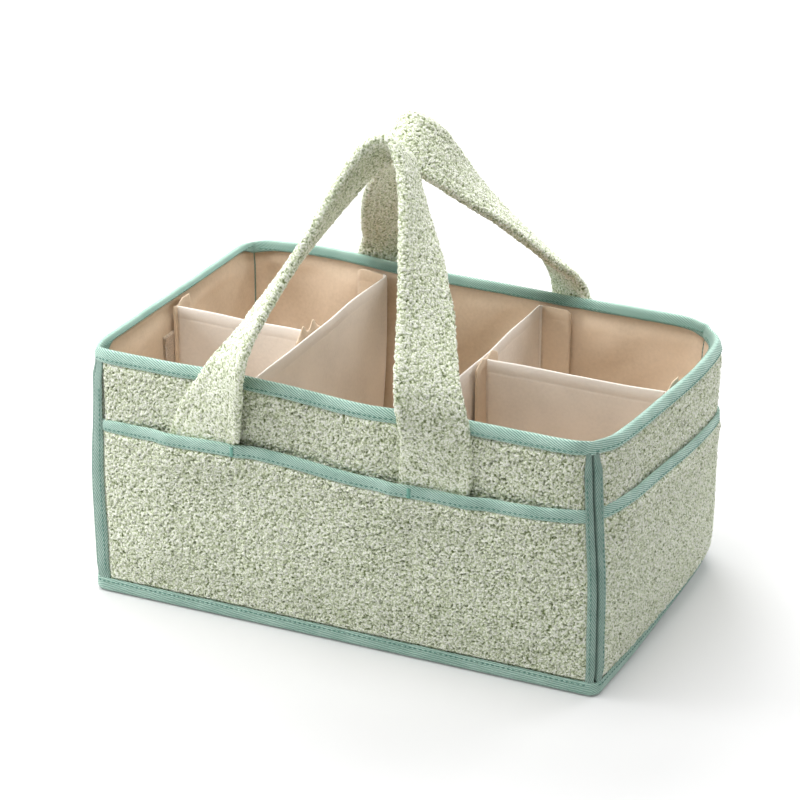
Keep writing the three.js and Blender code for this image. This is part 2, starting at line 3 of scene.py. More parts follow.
import bpy
import numpy as np
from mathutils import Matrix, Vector


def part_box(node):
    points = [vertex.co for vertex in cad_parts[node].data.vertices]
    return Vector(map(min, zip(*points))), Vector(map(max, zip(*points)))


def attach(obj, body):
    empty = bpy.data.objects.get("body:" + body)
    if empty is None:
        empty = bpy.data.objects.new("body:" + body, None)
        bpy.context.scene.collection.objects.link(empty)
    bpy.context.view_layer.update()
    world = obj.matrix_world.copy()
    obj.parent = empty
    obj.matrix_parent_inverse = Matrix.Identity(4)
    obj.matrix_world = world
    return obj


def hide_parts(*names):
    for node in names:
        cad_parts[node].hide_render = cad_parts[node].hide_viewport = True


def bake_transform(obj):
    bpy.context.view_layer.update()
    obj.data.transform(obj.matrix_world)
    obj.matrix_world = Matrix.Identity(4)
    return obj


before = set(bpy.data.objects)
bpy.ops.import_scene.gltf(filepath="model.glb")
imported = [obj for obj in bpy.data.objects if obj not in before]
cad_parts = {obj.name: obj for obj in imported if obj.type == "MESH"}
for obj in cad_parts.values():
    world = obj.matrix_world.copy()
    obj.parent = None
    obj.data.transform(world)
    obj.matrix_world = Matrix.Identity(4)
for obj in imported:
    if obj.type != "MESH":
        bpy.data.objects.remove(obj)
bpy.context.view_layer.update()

bl_info = {
    "name": "Plush carry caddy",
    "version": (1, 0, 0),
    "blender": (4, 5, 0),
    "location": "3D View > Sidebar > Caddy",
    "description": "Dresses the packed caddy: curly plush, twill tapes, lining, dividers and straps",
    "category": "Object",
}

MM = 0.001

# Measures in millimetres. Those that the frame holds are read from it.


def box_mm(node):
    low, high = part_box(node)
    return np.array(low) / MM, np.array(high) / MM


HALF_LENGTH = box_mm("right_panel")[1][0]
HALF_WIDTH = -box_mm("front_panel")[0][1]
RIM_TOP = box_mm("rim_tape")[1][2]
RIM_LOW = box_mm("rim_tape")[0][2] + 2.2
MOUTH_TOP = box_mm("front_pocket_tape")[1][2]
MOUTH_LOW = box_mm("front_pocket_tape")[0][2] + 2.0
FOOT_TOP = box_mm("base_tape")[1][2]
WALL_LOW = box_mm("front_panel")[0][2]
WALL_TOP = box_mm("front_panel")[1][2]
FLOOR_TOP = box_mm("base_lining")[1][2]
DIVIDER_TOP = box_mm("left_divider")[1][2]
TUCK_LOW = box_mm("front_handle_left_end")[0][2]
HINGE_Z = box_mm("front_handle")[0][2] - 0.15

CORNER = 6.0  # plan radius of the plush at a corner
TAPE_WIDTH = 5.4
SLIT = 1.6  # between the two bound edges of a corner
SEAM_IN = 1.7  # inset of a pocket's cloth where it is sewn down
POCKET_OPEN = 6.5
LINING_IN = 8.1
LINING_OUT = 7.1


def ramp(x, low, high):
    t = np.clip((np.asarray(x, float) - low) / (high - low), 0.0, 1.0)
    return t * t * (3.0 - 2.0 * t)


def hump(x):
    return np.exp(-np.square(x))


# The set that the soft walls have taken. A form has its depth, its middle along the wall and its spread.
BACK_FORMS = ((5.0, -122, 62), (-1.5, 118, 70))
FRONT_FORMS = ((1.8, -84, 26), (1.8, 72, 26), (-5.0, 24, 40))  # in at each strap, out between them
CORNER_FORMS = ((1, -1, 9.5, 16), (-1, 1, 4.5, 12), (-1, -1, 4.0, 12))  # side, end, depth and spread
LEFT_FOOT_IN = 6.0
RIGHT_OUT = 8.0
RIGHT_RIM_OUT = 4.5  # more of the same towards the rim
BACK_RIGHT_IN = (14.0, 8.0)  # along the length and across it
MOUTH_SPREAD = 28  # height over which a pocket's mouth sags


def forms(x, table):
    return sum(depth * hump((x - middle) / spread) for depth, middle, spread in table)


def slump(p):
    """Points moved by the set, from nothing at the base to all of it at the rim."""
    x, y, z = p[..., 0], p[..., 1], p[..., 2]
    fade = 1.0 - ramp(z, 186, 262)
    lift = ramp(z, 12, 176) * fade
    belly = ramp(z, -2, 24) * fade
    high = ramp(z, 70, 178) * fade
    low = 1.0 - ramp(z, 0, 150)
    to_right, to_left = ramp(x, 62, 184), ramp(-x, 62, 184)
    to_back, to_front = ramp(y, 20, 110), ramp(-y, 20, 110)
    corner = fade * (0.55 + 0.45 * belly) * hump(np.hypot(x - HALF_LENGTH, y - HALF_WIDTH) / 22)
    dx = belly * to_right * (RIGHT_OUT + RIGHT_RIM_OUT * high) * hump((y - 42) / 105)
    dx = dx - BACK_RIGHT_IN[0] * corner + low * LEFT_FOOT_IN * to_left
    dy = lift * to_back * forms(x, BACK_FORMS) - BACK_RIGHT_IN[1] * corner
    dy += lift * to_front * forms(x, FRONT_FORMS)
    dy += low * (0.036 * x - 1.8)
    dx -= 2.5 * hump(np.hypot(x - HALF_LENGTH, y + HALF_WIDTH) / 40) * fade
    dz = lift * to_back * 2.5 * hump((x + 118) / 55)
    sag = 2.0 + 2.0 * hump((x - 45) / 60) + 4.5 * ramp(-x, 80, 185)
    mouth = hump((z - MOUTH_TOP) / MOUTH_SPREAD)
    dz = dz - to_front * sag * mouth * ramp(190 - x, 5, 70)
    dz = dz - 7.0 * to_right * ramp(y, -50, 90) * mouth
    for side, end, cut, spread in CORNER_FORMS:
        near = cut * high * hump(np.hypot(x - side * HALF_LENGTH, y - end * HALF_WIDTH) / spread)
        dx, dy, dz = dx - side * near, dy - end * near, dz - 0.25 * near
    return p + np.stack([dx, dy, dz], -1)


class Wall:
    """A wall: s runs along the outside of its plush, inset goes in through it and z is up.

    ends names its two upright edges, and wide is how much wider than others their tapes are.
    """

    def __init__(self, name, half, depth, turn, ends, stitches=(), straps=(), wide=(0, 0)):
        self.name, self.half, self.depth, self.turn = name, half, depth, math.radians(turn)
        self.ends, self.stitches, self.straps, self.wide = ends, stitches, straps, wide
        self.straight = half - CORNER
        self.corner = self.straight + CORNER * math.pi / 4
        self.tape_end = self.corner - SLIT / 2
        self.tape_start = self.tape_end - TAPE_WIDTH
        self.cloth_end = self.tape_end - 1.5
        self.seam = self.tape_start - 0.3

    def room(self, s):
        """From a place along the wall to the nearer edge tape."""
        return self.seam - np.where(np.asarray(s) < 0, *self.wide) - np.abs(s)

    def place(self, p):
        c, k = math.cos(self.turn), math.sin(self.turn)
        x, y = p[..., 0], p[..., 1]
        return np.stack([x * c - y * k, x * k + y * c, p[..., 2]], -1)

    def at(self, s, inset, z):
        s, inset, z = np.broadcast_arrays(np.asarray(s, float), inset, z)
        bend = np.maximum(np.abs(s) - self.straight, 0) / CORNER
        radius = np.maximum(CORNER - inset, 1.0)
        share = (self.half - radius - inset) / self.straight
        along = np.sign(s) * (np.minimum(np.abs(s), self.straight) * share + radius * np.sin(bend))
        out = self.depth - inset - radius + radius * np.cos(bend)
        return slump(self.place(np.stack([along, -out, z], -1)))

    def mouth(self, s, z):
        """How far the pocket stands open, from 0 at its seams to 1."""
        side = ramp(self.room(s), -1, 42)
        foot = ramp(z, FOOT_TOP - 2, FOOT_TOP + 38)
        slack = np.full(np.broadcast(s, z).shape, 0.45 if self.straps else 0.3)
        for strap in self.straps:
            above = ramp(z, TUCK_LOW - 22, TUCK_LOW + 4)
            slack = np.maximum(slack, 0.45 + 0.42 * above * ramp(40 - np.abs(s - strap), 0, 16))
        held = 1 - 0.9 * ramp(z, TUCK_LOW - 30, TUCK_LOW + 8)
        drawn = np.zeros(np.broadcast(s, z).shape)
        for stitch in self.stitches:
            drawn = np.maximum(drawn, 0.4 * hump((s - stitch) / 10.0) + 0.6 * hump((s - stitch) / 1.9))
        return side * foot * slack * (1 - 0.5 * drawn * held)

    def pocket(self, s, z):
        """Inset of the inside of the pocket's cloth."""
        return SEAM_IN - (POCKET_OPEN + SEAM_IN) * self.mouth(s, z)


STITCH_X = (-72.0, 59.0)
STRAP_X = (-97.0, 73.0)
WIDE_EDGE = 3.4
FRONT = Wall("front", HALF_LENGTH, HALF_WIDTH, 0, ("left", "right"), STITCH_X, STRAP_X, (WIDE_EDGE, 0))
RIGHT = Wall("right", HALF_WIDTH, HALF_LENGTH, 90, ("front", "back"))
BACK = Wall("back", HALF_LENGTH, HALF_WIDTH, 180, ("right", "left"),
            tuple(-x for x in STITCH_X), tuple(-x for x in STRAP_X))
LEFT = Wall("left", HALF_WIDTH, HALF_LENGTH, -90, ("back", "front"), wide=(0, WIDE_EDGE))
WALLS = (FRONT, RIGHT, BACK, LEFT)

# Seeded patterns


def scatter(i, j, seed):
    """A fixed number from 0 to 1 for each cell of a lattice."""
    n = i.astype(np.int64) * 374761393 + j.astype(np.int64) * 668265263 + seed * 974634533
    n = ((n ^ (n >> 13)) & 0x7FFFFFFF) * 1274126177
    n = (n ^ (n >> 16)) & 0x7FFFFFFF
    return (n % 65521) / 65521.0


def drift(u, v, size, seed):
    """Soft noise from -1 to 1."""
    u, v = np.broadcast_arrays(np.asarray(u, float) / size, np.asarray(v, float) / size)
    i, j = np.floor(u), np.floor(v)
    a, b = u - i, v - j
    a, b = a * a * (3 - 2 * a), b * b * (3 - 2 * b)
    low = scatter(i, j, seed) * (1 - a) + scatter(i + 1, j, seed) * a
    high = scatter(i, j + 1, seed) * (1 - a) + scatter(i + 1, j + 1, seed) * a
    return 2 * (low * (1 - b) + high * b) - 1


def curls(u, v, size, seed):
    """Height of a curly pile, from 0 in its gaps to 1: short bent nubs that lie every way."""
    best = np.zeros(np.broadcast(u, v).shape)
    for layer, (scale, share) in enumerate(((1.0, 1.0), (0.82, 0.8))):
        a, b = u / (size * scale) + 7.3 * layer, v / (size * scale) + 3.1 * layer
        i, j = np.floor(a), np.floor(b)
        key = seed + 40 * layer
        for di in (-1, 0, 1):
            for dj in (-1, 0, 1):
                ci, cj = i + di, j + dj
                du = a - ci - 0.1 - 0.8 * scatter(ci, cj, key)
                dv = b - cj - 0.1 - 0.8 * scatter(ci, cj, key + 1)
                way = math.pi * scatter(ci, cj, key + 2)
                p = du * np.cos(way) + dv * np.sin(way)
                q = dv * np.cos(way) - du * np.sin(way)
                q = q + (scatter(ci, cj, key + 3) - 0.5) * 1.3 * p * p
                nub = np.sqrt(np.clip(1 - np.square(p / 0.9) - np.square(q / 0.43), 0, 1))
                best = np.maximum(best, share * (0.55 + 0.45 * scatter(ci, cj, key + 4)) * nub)
    return best


# Meshes


def run_along(points):
    """The way from the first point to each."""
    return np.concatenate([[0], np.cumsum(np.linalg.norm(np.diff(points, axis=0), axis=1))])


def at_run(at, run, points):
    return np.stack([np.interp(at, run, column) for column in points.T], -1)


def unit(ways):
    return ways / np.linalg.norm(ways, axis=-1, keepdims=True)


def mesh_object(name, points, faces, uvs=None, pile=None, flat_from=None):
    """One object from points in millimetres and a list of face arrays of equal width each."""
    mesh = bpy.data.meshes.new(name)
    corners = np.concatenate([f.reshape(-1) for f in faces]).astype(np.int32)
    counts = np.concatenate([np.full(len(f), f.shape[1]) for f in faces])
    starts = np.concatenate([[0], np.cumsum(counts)[:-1]]).astype(np.int32)
    mesh.vertices.add(len(points))
    mesh.vertices.foreach_set("co", (points * MM).astype(np.float32).reshape(-1))
    mesh.loops.add(len(corners))
    mesh.loops.foreach_set("vertex_index", corners)
    mesh.polygons.add(len(counts))
    mesh.polygons.foreach_set("loop_start", starts)
    smooth = np.ones(len(counts), bool)
    if flat_from is not None:
        smooth[flat_from:] = False
    mesh.polygons.foreach_set("use_smooth", smooth)
    if uvs is not None:
        layer = mesh.uv_layers.new(name="cloth")
        layer.uv.foreach_set("vector", (uvs * MM).astype(np.float32).reshape(-1))
    if pile is not None:
        # 'pile': a plush's curl height, a tape's inside leg for painted shade, or a divider's hem
        mark = mesh.attributes.new("pile", "FLOAT", "POINT")
        mark.data.foreach_set("value", pile.astype(np.float32).reshape(-1))
    mesh.update(calc_edges=True)
    piece = bpy.data.objects.new(name, mesh)
    bpy.context.scene.collection.objects.link(piece)
    return piece


def loft(name, rings, loop=False, pile=None, inner_from=None):
    """A closed piece through rings of points. Its lined face starts at inner_from in a ring."""
    count, around = rings.shape[:2]
    i, j = np.meshgrid(np.arange(count if loop else count - 1), np.arange(around), indexing="ij")
    i2, j2 = (i + 1) % count, (j + 1) % around
    quads = np.stack([i * around + j, i2 * around + j, i2 * around + j2, i * around + j2], -1)
    quads = quads.reshape(-1, 4)
    middle = rings.mean(axis=1)
    middle = np.concatenate([middle, middle[:1]])
    u = run_along(middle)
    ring = rings[count // 2]
    ring = np.concatenate([ring, ring[:1]])
    v = run_along(ring)
    uvs = np.stack([
        np.stack([u[i], v[j]], -1), np.stack([u[i + 1], v[j]], -1),
        np.stack([u[i + 1], v[j + 1]], -1), np.stack([u[i], v[j + 1]], -1),
    ], 2).reshape(-1, 4, 2)
    points = rings.reshape(-1, 3)
    a, b, c, d = (points[quads[:, k]] - points.mean(axis=0) for k in range(4))
    volume = np.einsum("ij,ij->i", a, np.cross(b, c)).sum() + np.einsum("ij,ij->i", a, np.cross(c, d)).sum()
    caps = [] if loop else [np.arange(around)[None], (count - 1) * around + np.arange(around)[None, ::-1]]
    if volume < 0:
        quads, uvs, caps = quads[:, ::-1], uvs[:, ::-1], [cap[:, ::-1] for cap in caps]
    uvs = uvs.reshape(-1, 2)
    if caps:
        uvs = np.concatenate([uvs, np.zeros((2 * around, 2))])
    piece = mesh_object(name, points, [quads, *caps], uvs, pile, len(quads))
    if inner_from is not None:
        lined = np.zeros(len(piece.data.polygons), np.int32)
        lined[:len(quads)] = j.reshape(-1) >= inner_from
        piece.data.polygons.foreach_set("material_index", lined)
    return piece


def threads(name, rings):
    """Short closed threads in one object: each thread's rings, and each ring's points."""
    number, count, sides = rings.shape[:3]
    base = np.arange(number)[:, None, None] * count * sides
    i, j = np.meshgrid(np.arange(count - 1) * sides, np.arange(sides), indexing="ij")
    k = (j + 1) % sides
    quads = np.stack([i + j, i + k, i + sides + k, i + sides + j], -1).reshape(1, -1, 4) + base
    first = np.arange(sides)[None, None, ::-1] + base
    last = (count - 1) * sides + np.arange(sides)[None, None] + base
    faces = [quads.reshape(-1, 4), first.reshape(-1, sides), last.reshape(-1, sides)]
    return mesh_object(name, rings.reshape(-1, 3), faces)


def row_of_stitches(name, path, outward, pitch, length, width, sink=0.25):
    """Single stitches along a line that lies on a tape, each a small bent thread."""
    run = run_along(path)
    number = int((run[-1] - length) / pitch)
    starts = pitch * (np.arange(number) + 0.5)
    shares = np.array([-0.5, -0.38, -0.12, 0.12, 0.38, 0.5])
    lifts = np.array([-0.55, 0.25, 0.5, 0.5, 0.25, -0.55]) * width
    sizes = np.array([0.35, 0.85, 1.0, 1.0, 0.85, 0.35]) * width / 2
    at = starts[:, None] + shares * length
    line = at_run(at, run, path)
    up = unit(at_run(at, run, outward))
    side = np.cross(unit(np.gradient(line, axis=1)), up)
    angle = np.arange(6) * math.pi / 3
    middle = line + up * (lifts - sink * width)[None, :, None]
    rings = (
        middle[:, :, None]
        + sizes[None, :, None, None] * np.cos(angle)[:, None] * up[:, :, None]
        + sizes[None, :, None, None] * np.sin(angle)[:, None] * side[:, :, None]
    )
    return threads(name, rings)


# Finishes


def linear(colour, share=1.0):
    """A property's colour, lighter or darker by a share, for a socket."""
    return tuple(min(1.0, c * share) for c in colour) + (1.0,)


def srgb(*parts):
    """Linear light from a colour's parts of 0 to 255."""
    return tuple(((c / 255 + 0.055) / 1.055) ** 2.4 if c > 10 else c / 255 / 12.92 for c in parts)


class Finish:
    """A material and its node tree, with the shader's plain sockets set directly."""

    def __init__(self, name, **sockets):
        self.material = bpy.data.materials.new(name)
        self.material.use_nodes = True
        self.tree = self.material.node_tree
        self.shader = self.tree.nodes["Principled BSDF"]
        for socket, value in sockets.items():
            self.shader.inputs[socket.replace("_", " ")].default_value = value

    def node(self, kind, inputs=None, **settings):
        made = self.tree.nodes.new("ShaderNode" + kind)
        for key, value in settings.items():
            setattr(made, key, value)
        for key, value in (inputs or {}).items():
            if hasattr(value, "links"):
                self.tree.links.new(value, made.inputs[key])
            else:
                made.inputs[key].default_value = value
        return made

    def math(self, operation, a, b=0.0):
        return self.node("Math", {0: a, 1: b}, operation=operation).outputs[0]

    def noise(self, where, scale, detail=2.0, rough=0.5):
        inputs = {"Vector": where, "Scale": scale, "Detail": detail, "Roughness": rough}
        return self.node("TexNoise", inputs).outputs["Fac"]

    def tones(self, fac, stops):
        made = self.node("ValToRGB", {"Fac": fac})
        elements = made.color_ramp.elements
        while len(elements) < len(stops):
            elements.new(0.5)
        for element, (place, tone) in zip(elements, stops):
            element.position, element.color = place, tone
        return made.outputs["Color"]

    def mix(self, fac, a, b, blend="MIX"):
        made = self.node("Mix", {0: fac, 6: a, 7: b}, data_type="RGBA", blend_type=blend)
        return made.outputs[2]

    def link(self, value, socket):
        self.tree.links.new(value, self.shader.inputs[socket])

    def bump(self, height, strength, distance, under=None):
        inputs = {"Height": height, "Strength": strength, "Distance": distance}
        if under is not None:
            inputs["Normal"] = under
        return self.node("Bump", inputs).outputs["Normal"]


def plush_finish(colours):
    """Curly pile: painted highlight on the tips, painted shade in the gaps and fine loops between the
    modelled nubs.
    """
    f = Finish("curly_plush", Roughness=0.95, Sheen_Weight=0.25, Sheen_Roughness=0.6,
               Specular_IOR_Level=0.15)
    where = f.node("TexCoord").outputs["Object"]
    pile = f.node("Attribute", attribute_name="pile").outputs["Fac"]
    swirl = f.node("TexNoise", {"Vector": where, "Scale": 520.0, "Detail": 1.0}).outputs["Color"]
    bent = f.node("VectorMath", {0: swirl, "Scale": 0.0016}, operation="SCALE").outputs[0]
    bent = f.node("VectorMath", {0: where, 1: bent}, operation="ADD").outputs[0]
    loop = f.node("TexVoronoi", {"Vector": bent, "Scale": 640.0}).outputs["Distance"]
    fibre = f.noise(where, 1900.0, 1.0, 0.5)
    patch = f.noise(where, 38.0, 2.0)
    fine = f.math("ADD", f.math("MULTIPLY", loop, -1.25), f.math("MULTIPLY", fibre, 0.5))
    height = f.math("ADD", f.math("MULTIPLY", pile, 0.6), f.math("ADD", fine, 0.68))
    # By curl height: painted shade in the gaps and loops, the plush's own colour on the sides, painted
    # highlight on the tips
    base = f.tones(height, [
        (0.1, linear(colours.plush_gaps)), (0.38, linear(colours.plush_middle, 0.8)),
        (0.6, linear(colours.plush_middle, 1.08)), (0.84, linear(colours.plush_tops)),
    ])
    deeper = f.mix(1.0, base, (0.86, 0.9, 0.78, 1), "MULTIPLY")
    f.link(f.mix(f.math("MULTIPLY", patch, 0.35), base, deeper), "Base Color")
    f.link(f.bump(fine, 0.7, 0.0009), "Normal")
    return f.material


def tape_finish(colours, name, share):
    """Twill tape with slanted ribs, with painted shade on the leg that is folded inside."""
    f = Finish(name, Roughness=0.72, Sheen_Weight=0.15, Sheen_Roughness=0.5, Specular_IOR_Level=0.25)
    uv = f.node("UVMap", uv_map="cloth").outputs["UV"]
    split = f.node("SeparateXYZ", {0: uv})
    where = f.node("TexCoord").outputs["Object"]
    wander = f.math("MULTIPLY", f.noise(where, 260.0), 0.0006)
    across = f.math("ADD", split.outputs["Y"], wander)
    slant = f.math("ADD", f.math("MULTIPLY", split.outputs["X"], 0.5), across)
    ribs = f.math("MULTIPLY_ADD", f.math("SINE", f.math("MULTIPLY", slant, 2 * math.pi / 0.00145)), 0.5)
    ribs.node.inputs[2].default_value = 0.5
    patch = f.noise(where, 60.0, 3.0)
    fibre = f.noise(where, 2600.0, 2.0)
    uneven = f.math("ADD", f.math("MULTIPLY", patch, 0.4), f.math("MULTIPLY", fibre, 0.3))
    tone = f.math("ADD", f.math("MULTIPLY", ribs, 0.5), uneven)
    # The ribs' tones: partly the twill's own pattern, partly painted highlight on the raised ribs and
    # painted shade between them
    base = f.tones(tone, [
        (0.2, linear(colours.tape_shade, share)), (0.5, linear(colours.tape, share)),
        (0.86, linear(colours.tape_light, share)),
    ])
    # Painted shade on the inside leg, from the 'pile' mark that the rim gives that leg
    inside = f.node("Attribute", attribute_name="pile").outputs["Fac"]
    f.link(f.mix(f.math("MULTIPLY", inside, 0.6), base, linear(colours.tape_shade, 0.75)), "Base Color")
    f.link(f.bump(fibre, 0.3, 0.0002, f.bump(ribs, 0.6, 0.0004)), "Normal")
    return f.material


def cloth_finish(name, colour, shade, light, pitch, rough, sheen, gloss, hem=None):
    """A plain woven cloth: lining and dividers."""
    f = Finish(name, Roughness=rough, Sheen_Weight=sheen, Sheen_Roughness=0.4, Specular_IOR_Level=gloss)
    uv = f.node("UVMap", uv_map="cloth").outputs["UV"]
    split = f.node("SeparateXYZ", {0: uv})
    where = f.node("TexCoord").outputs["Object"]
    warp = f.math("SINE", f.math("MULTIPLY", split.outputs["X"], 2 * math.pi / pitch))
    weft = f.math("SINE", f.math("MULTIPLY", split.outputs["Y"], 2 * math.pi / pitch))
    weave = f.math("MULTIPLY", warp, weft)
    patch = f.noise(where, 22.0, 3.0)
    slub = f.noise(where, 420.0, 2.0)
    uneven = f.math("ADD", f.math("MULTIPLY", patch, 0.7), f.math("MULTIPLY", slub, 0.3))
    tone = f.math("ADD", f.math("MULTIPLY", weave, 0.07), uneven)
    base = f.tones(tone, [(0.2, linear(shade)), (0.52, linear(colour)), (0.85, linear(light))])
    if hem is not None:
        fold = f.node("Attribute", attribute_name="pile").outputs["Fac"]
        base = f.mix(f.math("MULTIPLY", fold, 0.5), base, linear(hem))
    f.link(base, "Base Color")
    f.link(f.bump(weave, 0.35, 0.00012, f.bump(patch, 0.25, 0.003)), "Normal")
    return f.material


def thread_finish(name, colour):
    """Twisted sewing thread."""
    f = Finish(name, Roughness=0.55, Sheen_Weight=0.2, Specular_IOR_Level=0.35)
    where = f.node("TexCoord").outputs["Object"]
    twist = f.noise(where, 1800.0, 1.0)
    f.link(f.tones(twist, [(0.3, linear(colour, 0.78)), (0.7, linear(colour, 1.12))]), "Base Color")
    f.link(f.bump(twist, 0.3, 0.0002), "Normal")
    return f.material


def grip_finish(name, colour):
    """Hook or loop tape: a dense short fuzz."""
    f = Finish(name, Roughness=0.9, Sheen_Weight=0.3, Specular_IOR_Level=0.2)
    where = f.node("TexCoord").outputs["Object"]
    cells = f.node("TexVoronoi", {"Vector": where, "Scale": 900.0}).outputs["Distance"]
    f.link(f.tones(cells, [(0.1, linear(colour, 1.1)), (0.7, linear(colour, 0.72))]), "Base Color")
    f.link(f.bump(cells, 0.6, 0.0004), "Normal")
    return f.material


FINISHES = {}


def finish(key):
    """The finish that several pieces share, made when it is first asked for."""
    if key not in FINISHES:
        c = bpy.context.scene.caddy_colours
        FINISHES[key] = {
            "plush": lambda: plush_finish(c),
            "tape": lambda: tape_finish(c, "twill_tape", 1.0),
            # Corner tapes: the same tape darkened to 0.72, painted shade
            "edge_tape": lambda: tape_finish(c, "edge_twill_tape", 0.72),
            "lining": lambda: cloth_finish("lining_cloth", c.lining, c.lining_shade,
                                           linear(c.lining, 1.16)[:3], 0.0009, 0.72, 0.2, 0.25),
            "divider": lambda: cloth_finish("divider_cloth", c.divider, linear(c.divider, 0.82)[:3],
                                            linear(c.divider, 1.12)[:3], 0.0008, 0.7, 0.2, 0.2, c.hem),
            "thread": lambda: thread_finish("tape_thread", c.thread),
            "tack": lambda: thread_finish("tack_thread", c.tack),
            "hooks": lambda: grip_finish("hook_tape", c.hooks),
            "loops": lambda: grip_finish("loop_tape", c.loops),
        }[key]()
    return FINISHES[key]


def dress(piece, slot, *keys):
    for key in keys:
        piece.data.materials.append(finish(key))


def fit(piece, body, *nodes):
    """Puts a piece on a body, in the place of the frame's nodes."""
    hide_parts(*nodes)
    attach(piece, body)


# Sizes and colours that a user would change


def length(name, about, default):
    return bpy.props.FloatProperty(
        name=name, description=about, default=default, min=0.0, unit="LENGTH", precision=5)


def colour(name, about, *value):
    return bpy.props.FloatVectorProperty(
        name=name, description=about, default=srgb(*value), size=3, min=0.0, max=1.0, subtype="COLOR")


def power(name, about, default):
    return bpy.props.FloatProperty(name=name, description=about, default=default, min=0.0, unit="POWER")


def amount(name, about, default):
    return bpy.props.FloatProperty(name=name, description=about, default=default, min=0.0)


class CaddySizes(bpy.types.PropertyGroup):
    nub: length("Nub", "Spacing of the plush's curls", 0.0021)
    pile: length("Pile", "Height of the plush's curls", 0.0032)
    plush_step: length("Plush step", "Spacing of the plush's mesh points", 0.0008)
    stitch: length("Stitch", "Length of a stitch on the tapes", 0.0026)
    stitch_pitch: length("Stitch pitch", "From one stitch to the next", 0.0037)
    thread: length("Thread", "Width of a stitch", 0.0008)
    wrinkle: length("Wrinkle", "Depth of the lining's folds", 0.005)
    foot_width: length("Strap foot", "Width of a carrying strap in its pocket", 0.048)
    strap_width: length("Strap width", "Width of a carrying strap's legs", 0.041)
    crown_width: length("Crown width", "Width of a strap over its crown", 0.04)
    strap_thickness: length("Strap thickness", "Thickness of a strap without its curls", 0.0042)


class CaddyColours(bpy.types.PropertyGroup):
    # Tips: painted highlight. Gaps: painted shade between the curls. Middle: the plush's own colour.
    plush_tops: colour("Plush tops", "Tips of the curls", 252, 253, 243)
    plush_middle: colour("Plush middle", "Sides of the curls", 212, 220, 187)
    plush_gaps: colour("Plush gaps", "Between the curls", 112, 126, 74)
    # Tape light: painted highlight on the raised ribs. Tape shade: painted shade between the ribs and on
    # the inside leg.
    tape: colour("Tape", "Twill tape", 134, 172, 158)
    tape_light: colour("Tape light", "Raised ribs of the tape", 196, 220, 208)
    tape_shade: colour("Tape shade", "Between the ribs of the tape", 92, 130, 116)
    thread: colour("Thread", "Stitches on the tapes", 84, 132, 118)
    tack: colour("Tacks", "Bar tacks at the pockets' seams", 116, 172, 156)
    lining: colour("Lining", "Lining cloth", 224, 203, 178)
    lining_shade: colour("Lining shade", "Darker parts of the lining", 201, 179, 152)
    divider: colour("Divider", "Divider cloth", 240, 230, 218)
    hem: colour("Hem", "Folded hems of the dividers", 246, 240, 234)
    hooks: colour("Hooks", "Hook tape", 205, 184, 162)
    loops: colour("Loops", "Loop tape", 218, 198, 173)


class CaddyStage(bpy.types.PropertyGroup):
    world_level: amount("World", "Level of the even light", 0.14)
    left_power: power("Left", "Power of the lamp on the left", 4.4)
    right_power: power("Right", "Power of the lamp on the right", 3.3)
    top_power: power("Top", "Power of the lamp overhead", 47.0)
    back_power: power("Back", "Power of the lamp behind on the left", 28.0)
    glow_near: amount("Near glow", "Light that the floor adds in view", 0.12)
    glow_far: amount("Far glow", "The same further off", 0.4)


# Pieces

NUB_LEAN = 0.35  # how far a nub leans to a side
NUB_LEAN_SIZE = 1.7  # spacing of that
NUB_FADE = 3.0  # margin in which the nubs lean less, towards an edge
RIM_TURN = (160, 176)  # heights between which a wall's layers close up under the rim


def levels(*runs):
    """Heights through runs of (from, to, step)."""
    made = [np.linspace(a, b, max(2, int(round((b - a) / step)) + 1)) for a, b, step in runs]
    return np.unique(np.round(np.concatenate(made), 4))


def plush_sheet(name, wall, rows, face, pile_at, back_rows, back, seed):
    """A wall's or pocket's cloth: nubs on its face, and a lined back."""
    sizes = bpy.context.scene.caddy_sizes
    step, nub = sizes.plush_step / MM, sizes.nub / MM
    s = np.linspace(-wall.cloth_end, wall.cloth_end, int(2 * wall.cloth_end / step))
    along, up = np.meshgrid(s, rows, indexing="ij")
    height = curls(along + 500, up + 100, nub, seed)
    lean_s = NUB_LEAN * drift(along, up, NUB_LEAN_SIZE, seed + 5)
    lean_z = NUB_LEAN * drift(along, up, NUB_LEAN_SIZE, seed + 6)
    edge = ramp(wall.cloth_end - np.abs(along), 0, NUB_FADE)
    edge = edge * ramp(up, rows[0], rows[0] + NUB_FADE) * ramp(rows[-1] - up, 0, NUB_FADE)
    inset = face(along, up) - pile_at(along, up) * height
    outer = wall.at(along + lean_s * edge, inset, up + lean_z * edge)
    along, up = np.meshgrid(s, back_rows[::-1], indexing="ij")
    inner = wall.at(along, back(along, up), up)
    pile = np.concatenate([height, np.full(inner.shape[:2], 0.3)], axis=1)
    return loft(name, np.concatenate([outer, inner], axis=1), pile=pile, inner_from=len(rows) - 1)


def make_panel(wall, seed):
    sizes = bpy.context.scene.caddy_sizes
    rise, step = sizes.pile / MM, sizes.plush_step / MM
    low, high = MOUTH_LOW - 8, RIM_LOW + 2
    rows = levels((WALL_LOW, low, 12), (low, high, step), (high, WALL_TOP, 3))

    def pile_at(s, z):
        sides = ramp(wall.room(s) + 1, 0, 4)
        return rise * sides * ramp(z, MOUTH_LOW - 6, MOUTH_LOW + 2) * ramp(RIM_LOW + 0.5 - z, 0, 3.5)

    def face(s, z):
        return 2.3 + 0.4 * drift(s, z, 26, seed + 9)

    def back(s, z):
        return 3.5 + 0 * s

    back_rows = np.linspace(WALL_LOW, WALL_TOP, 12)
    piece = plush_sheet(f"{wall.name}_wall_plush", wall, rows, face, pile_at, back_rows, back, seed)
    dress(piece, "plush", "plush", "lining")
    fit(piece, "caddy", f"{wall.name}_panel", f"{wall.name}_board")


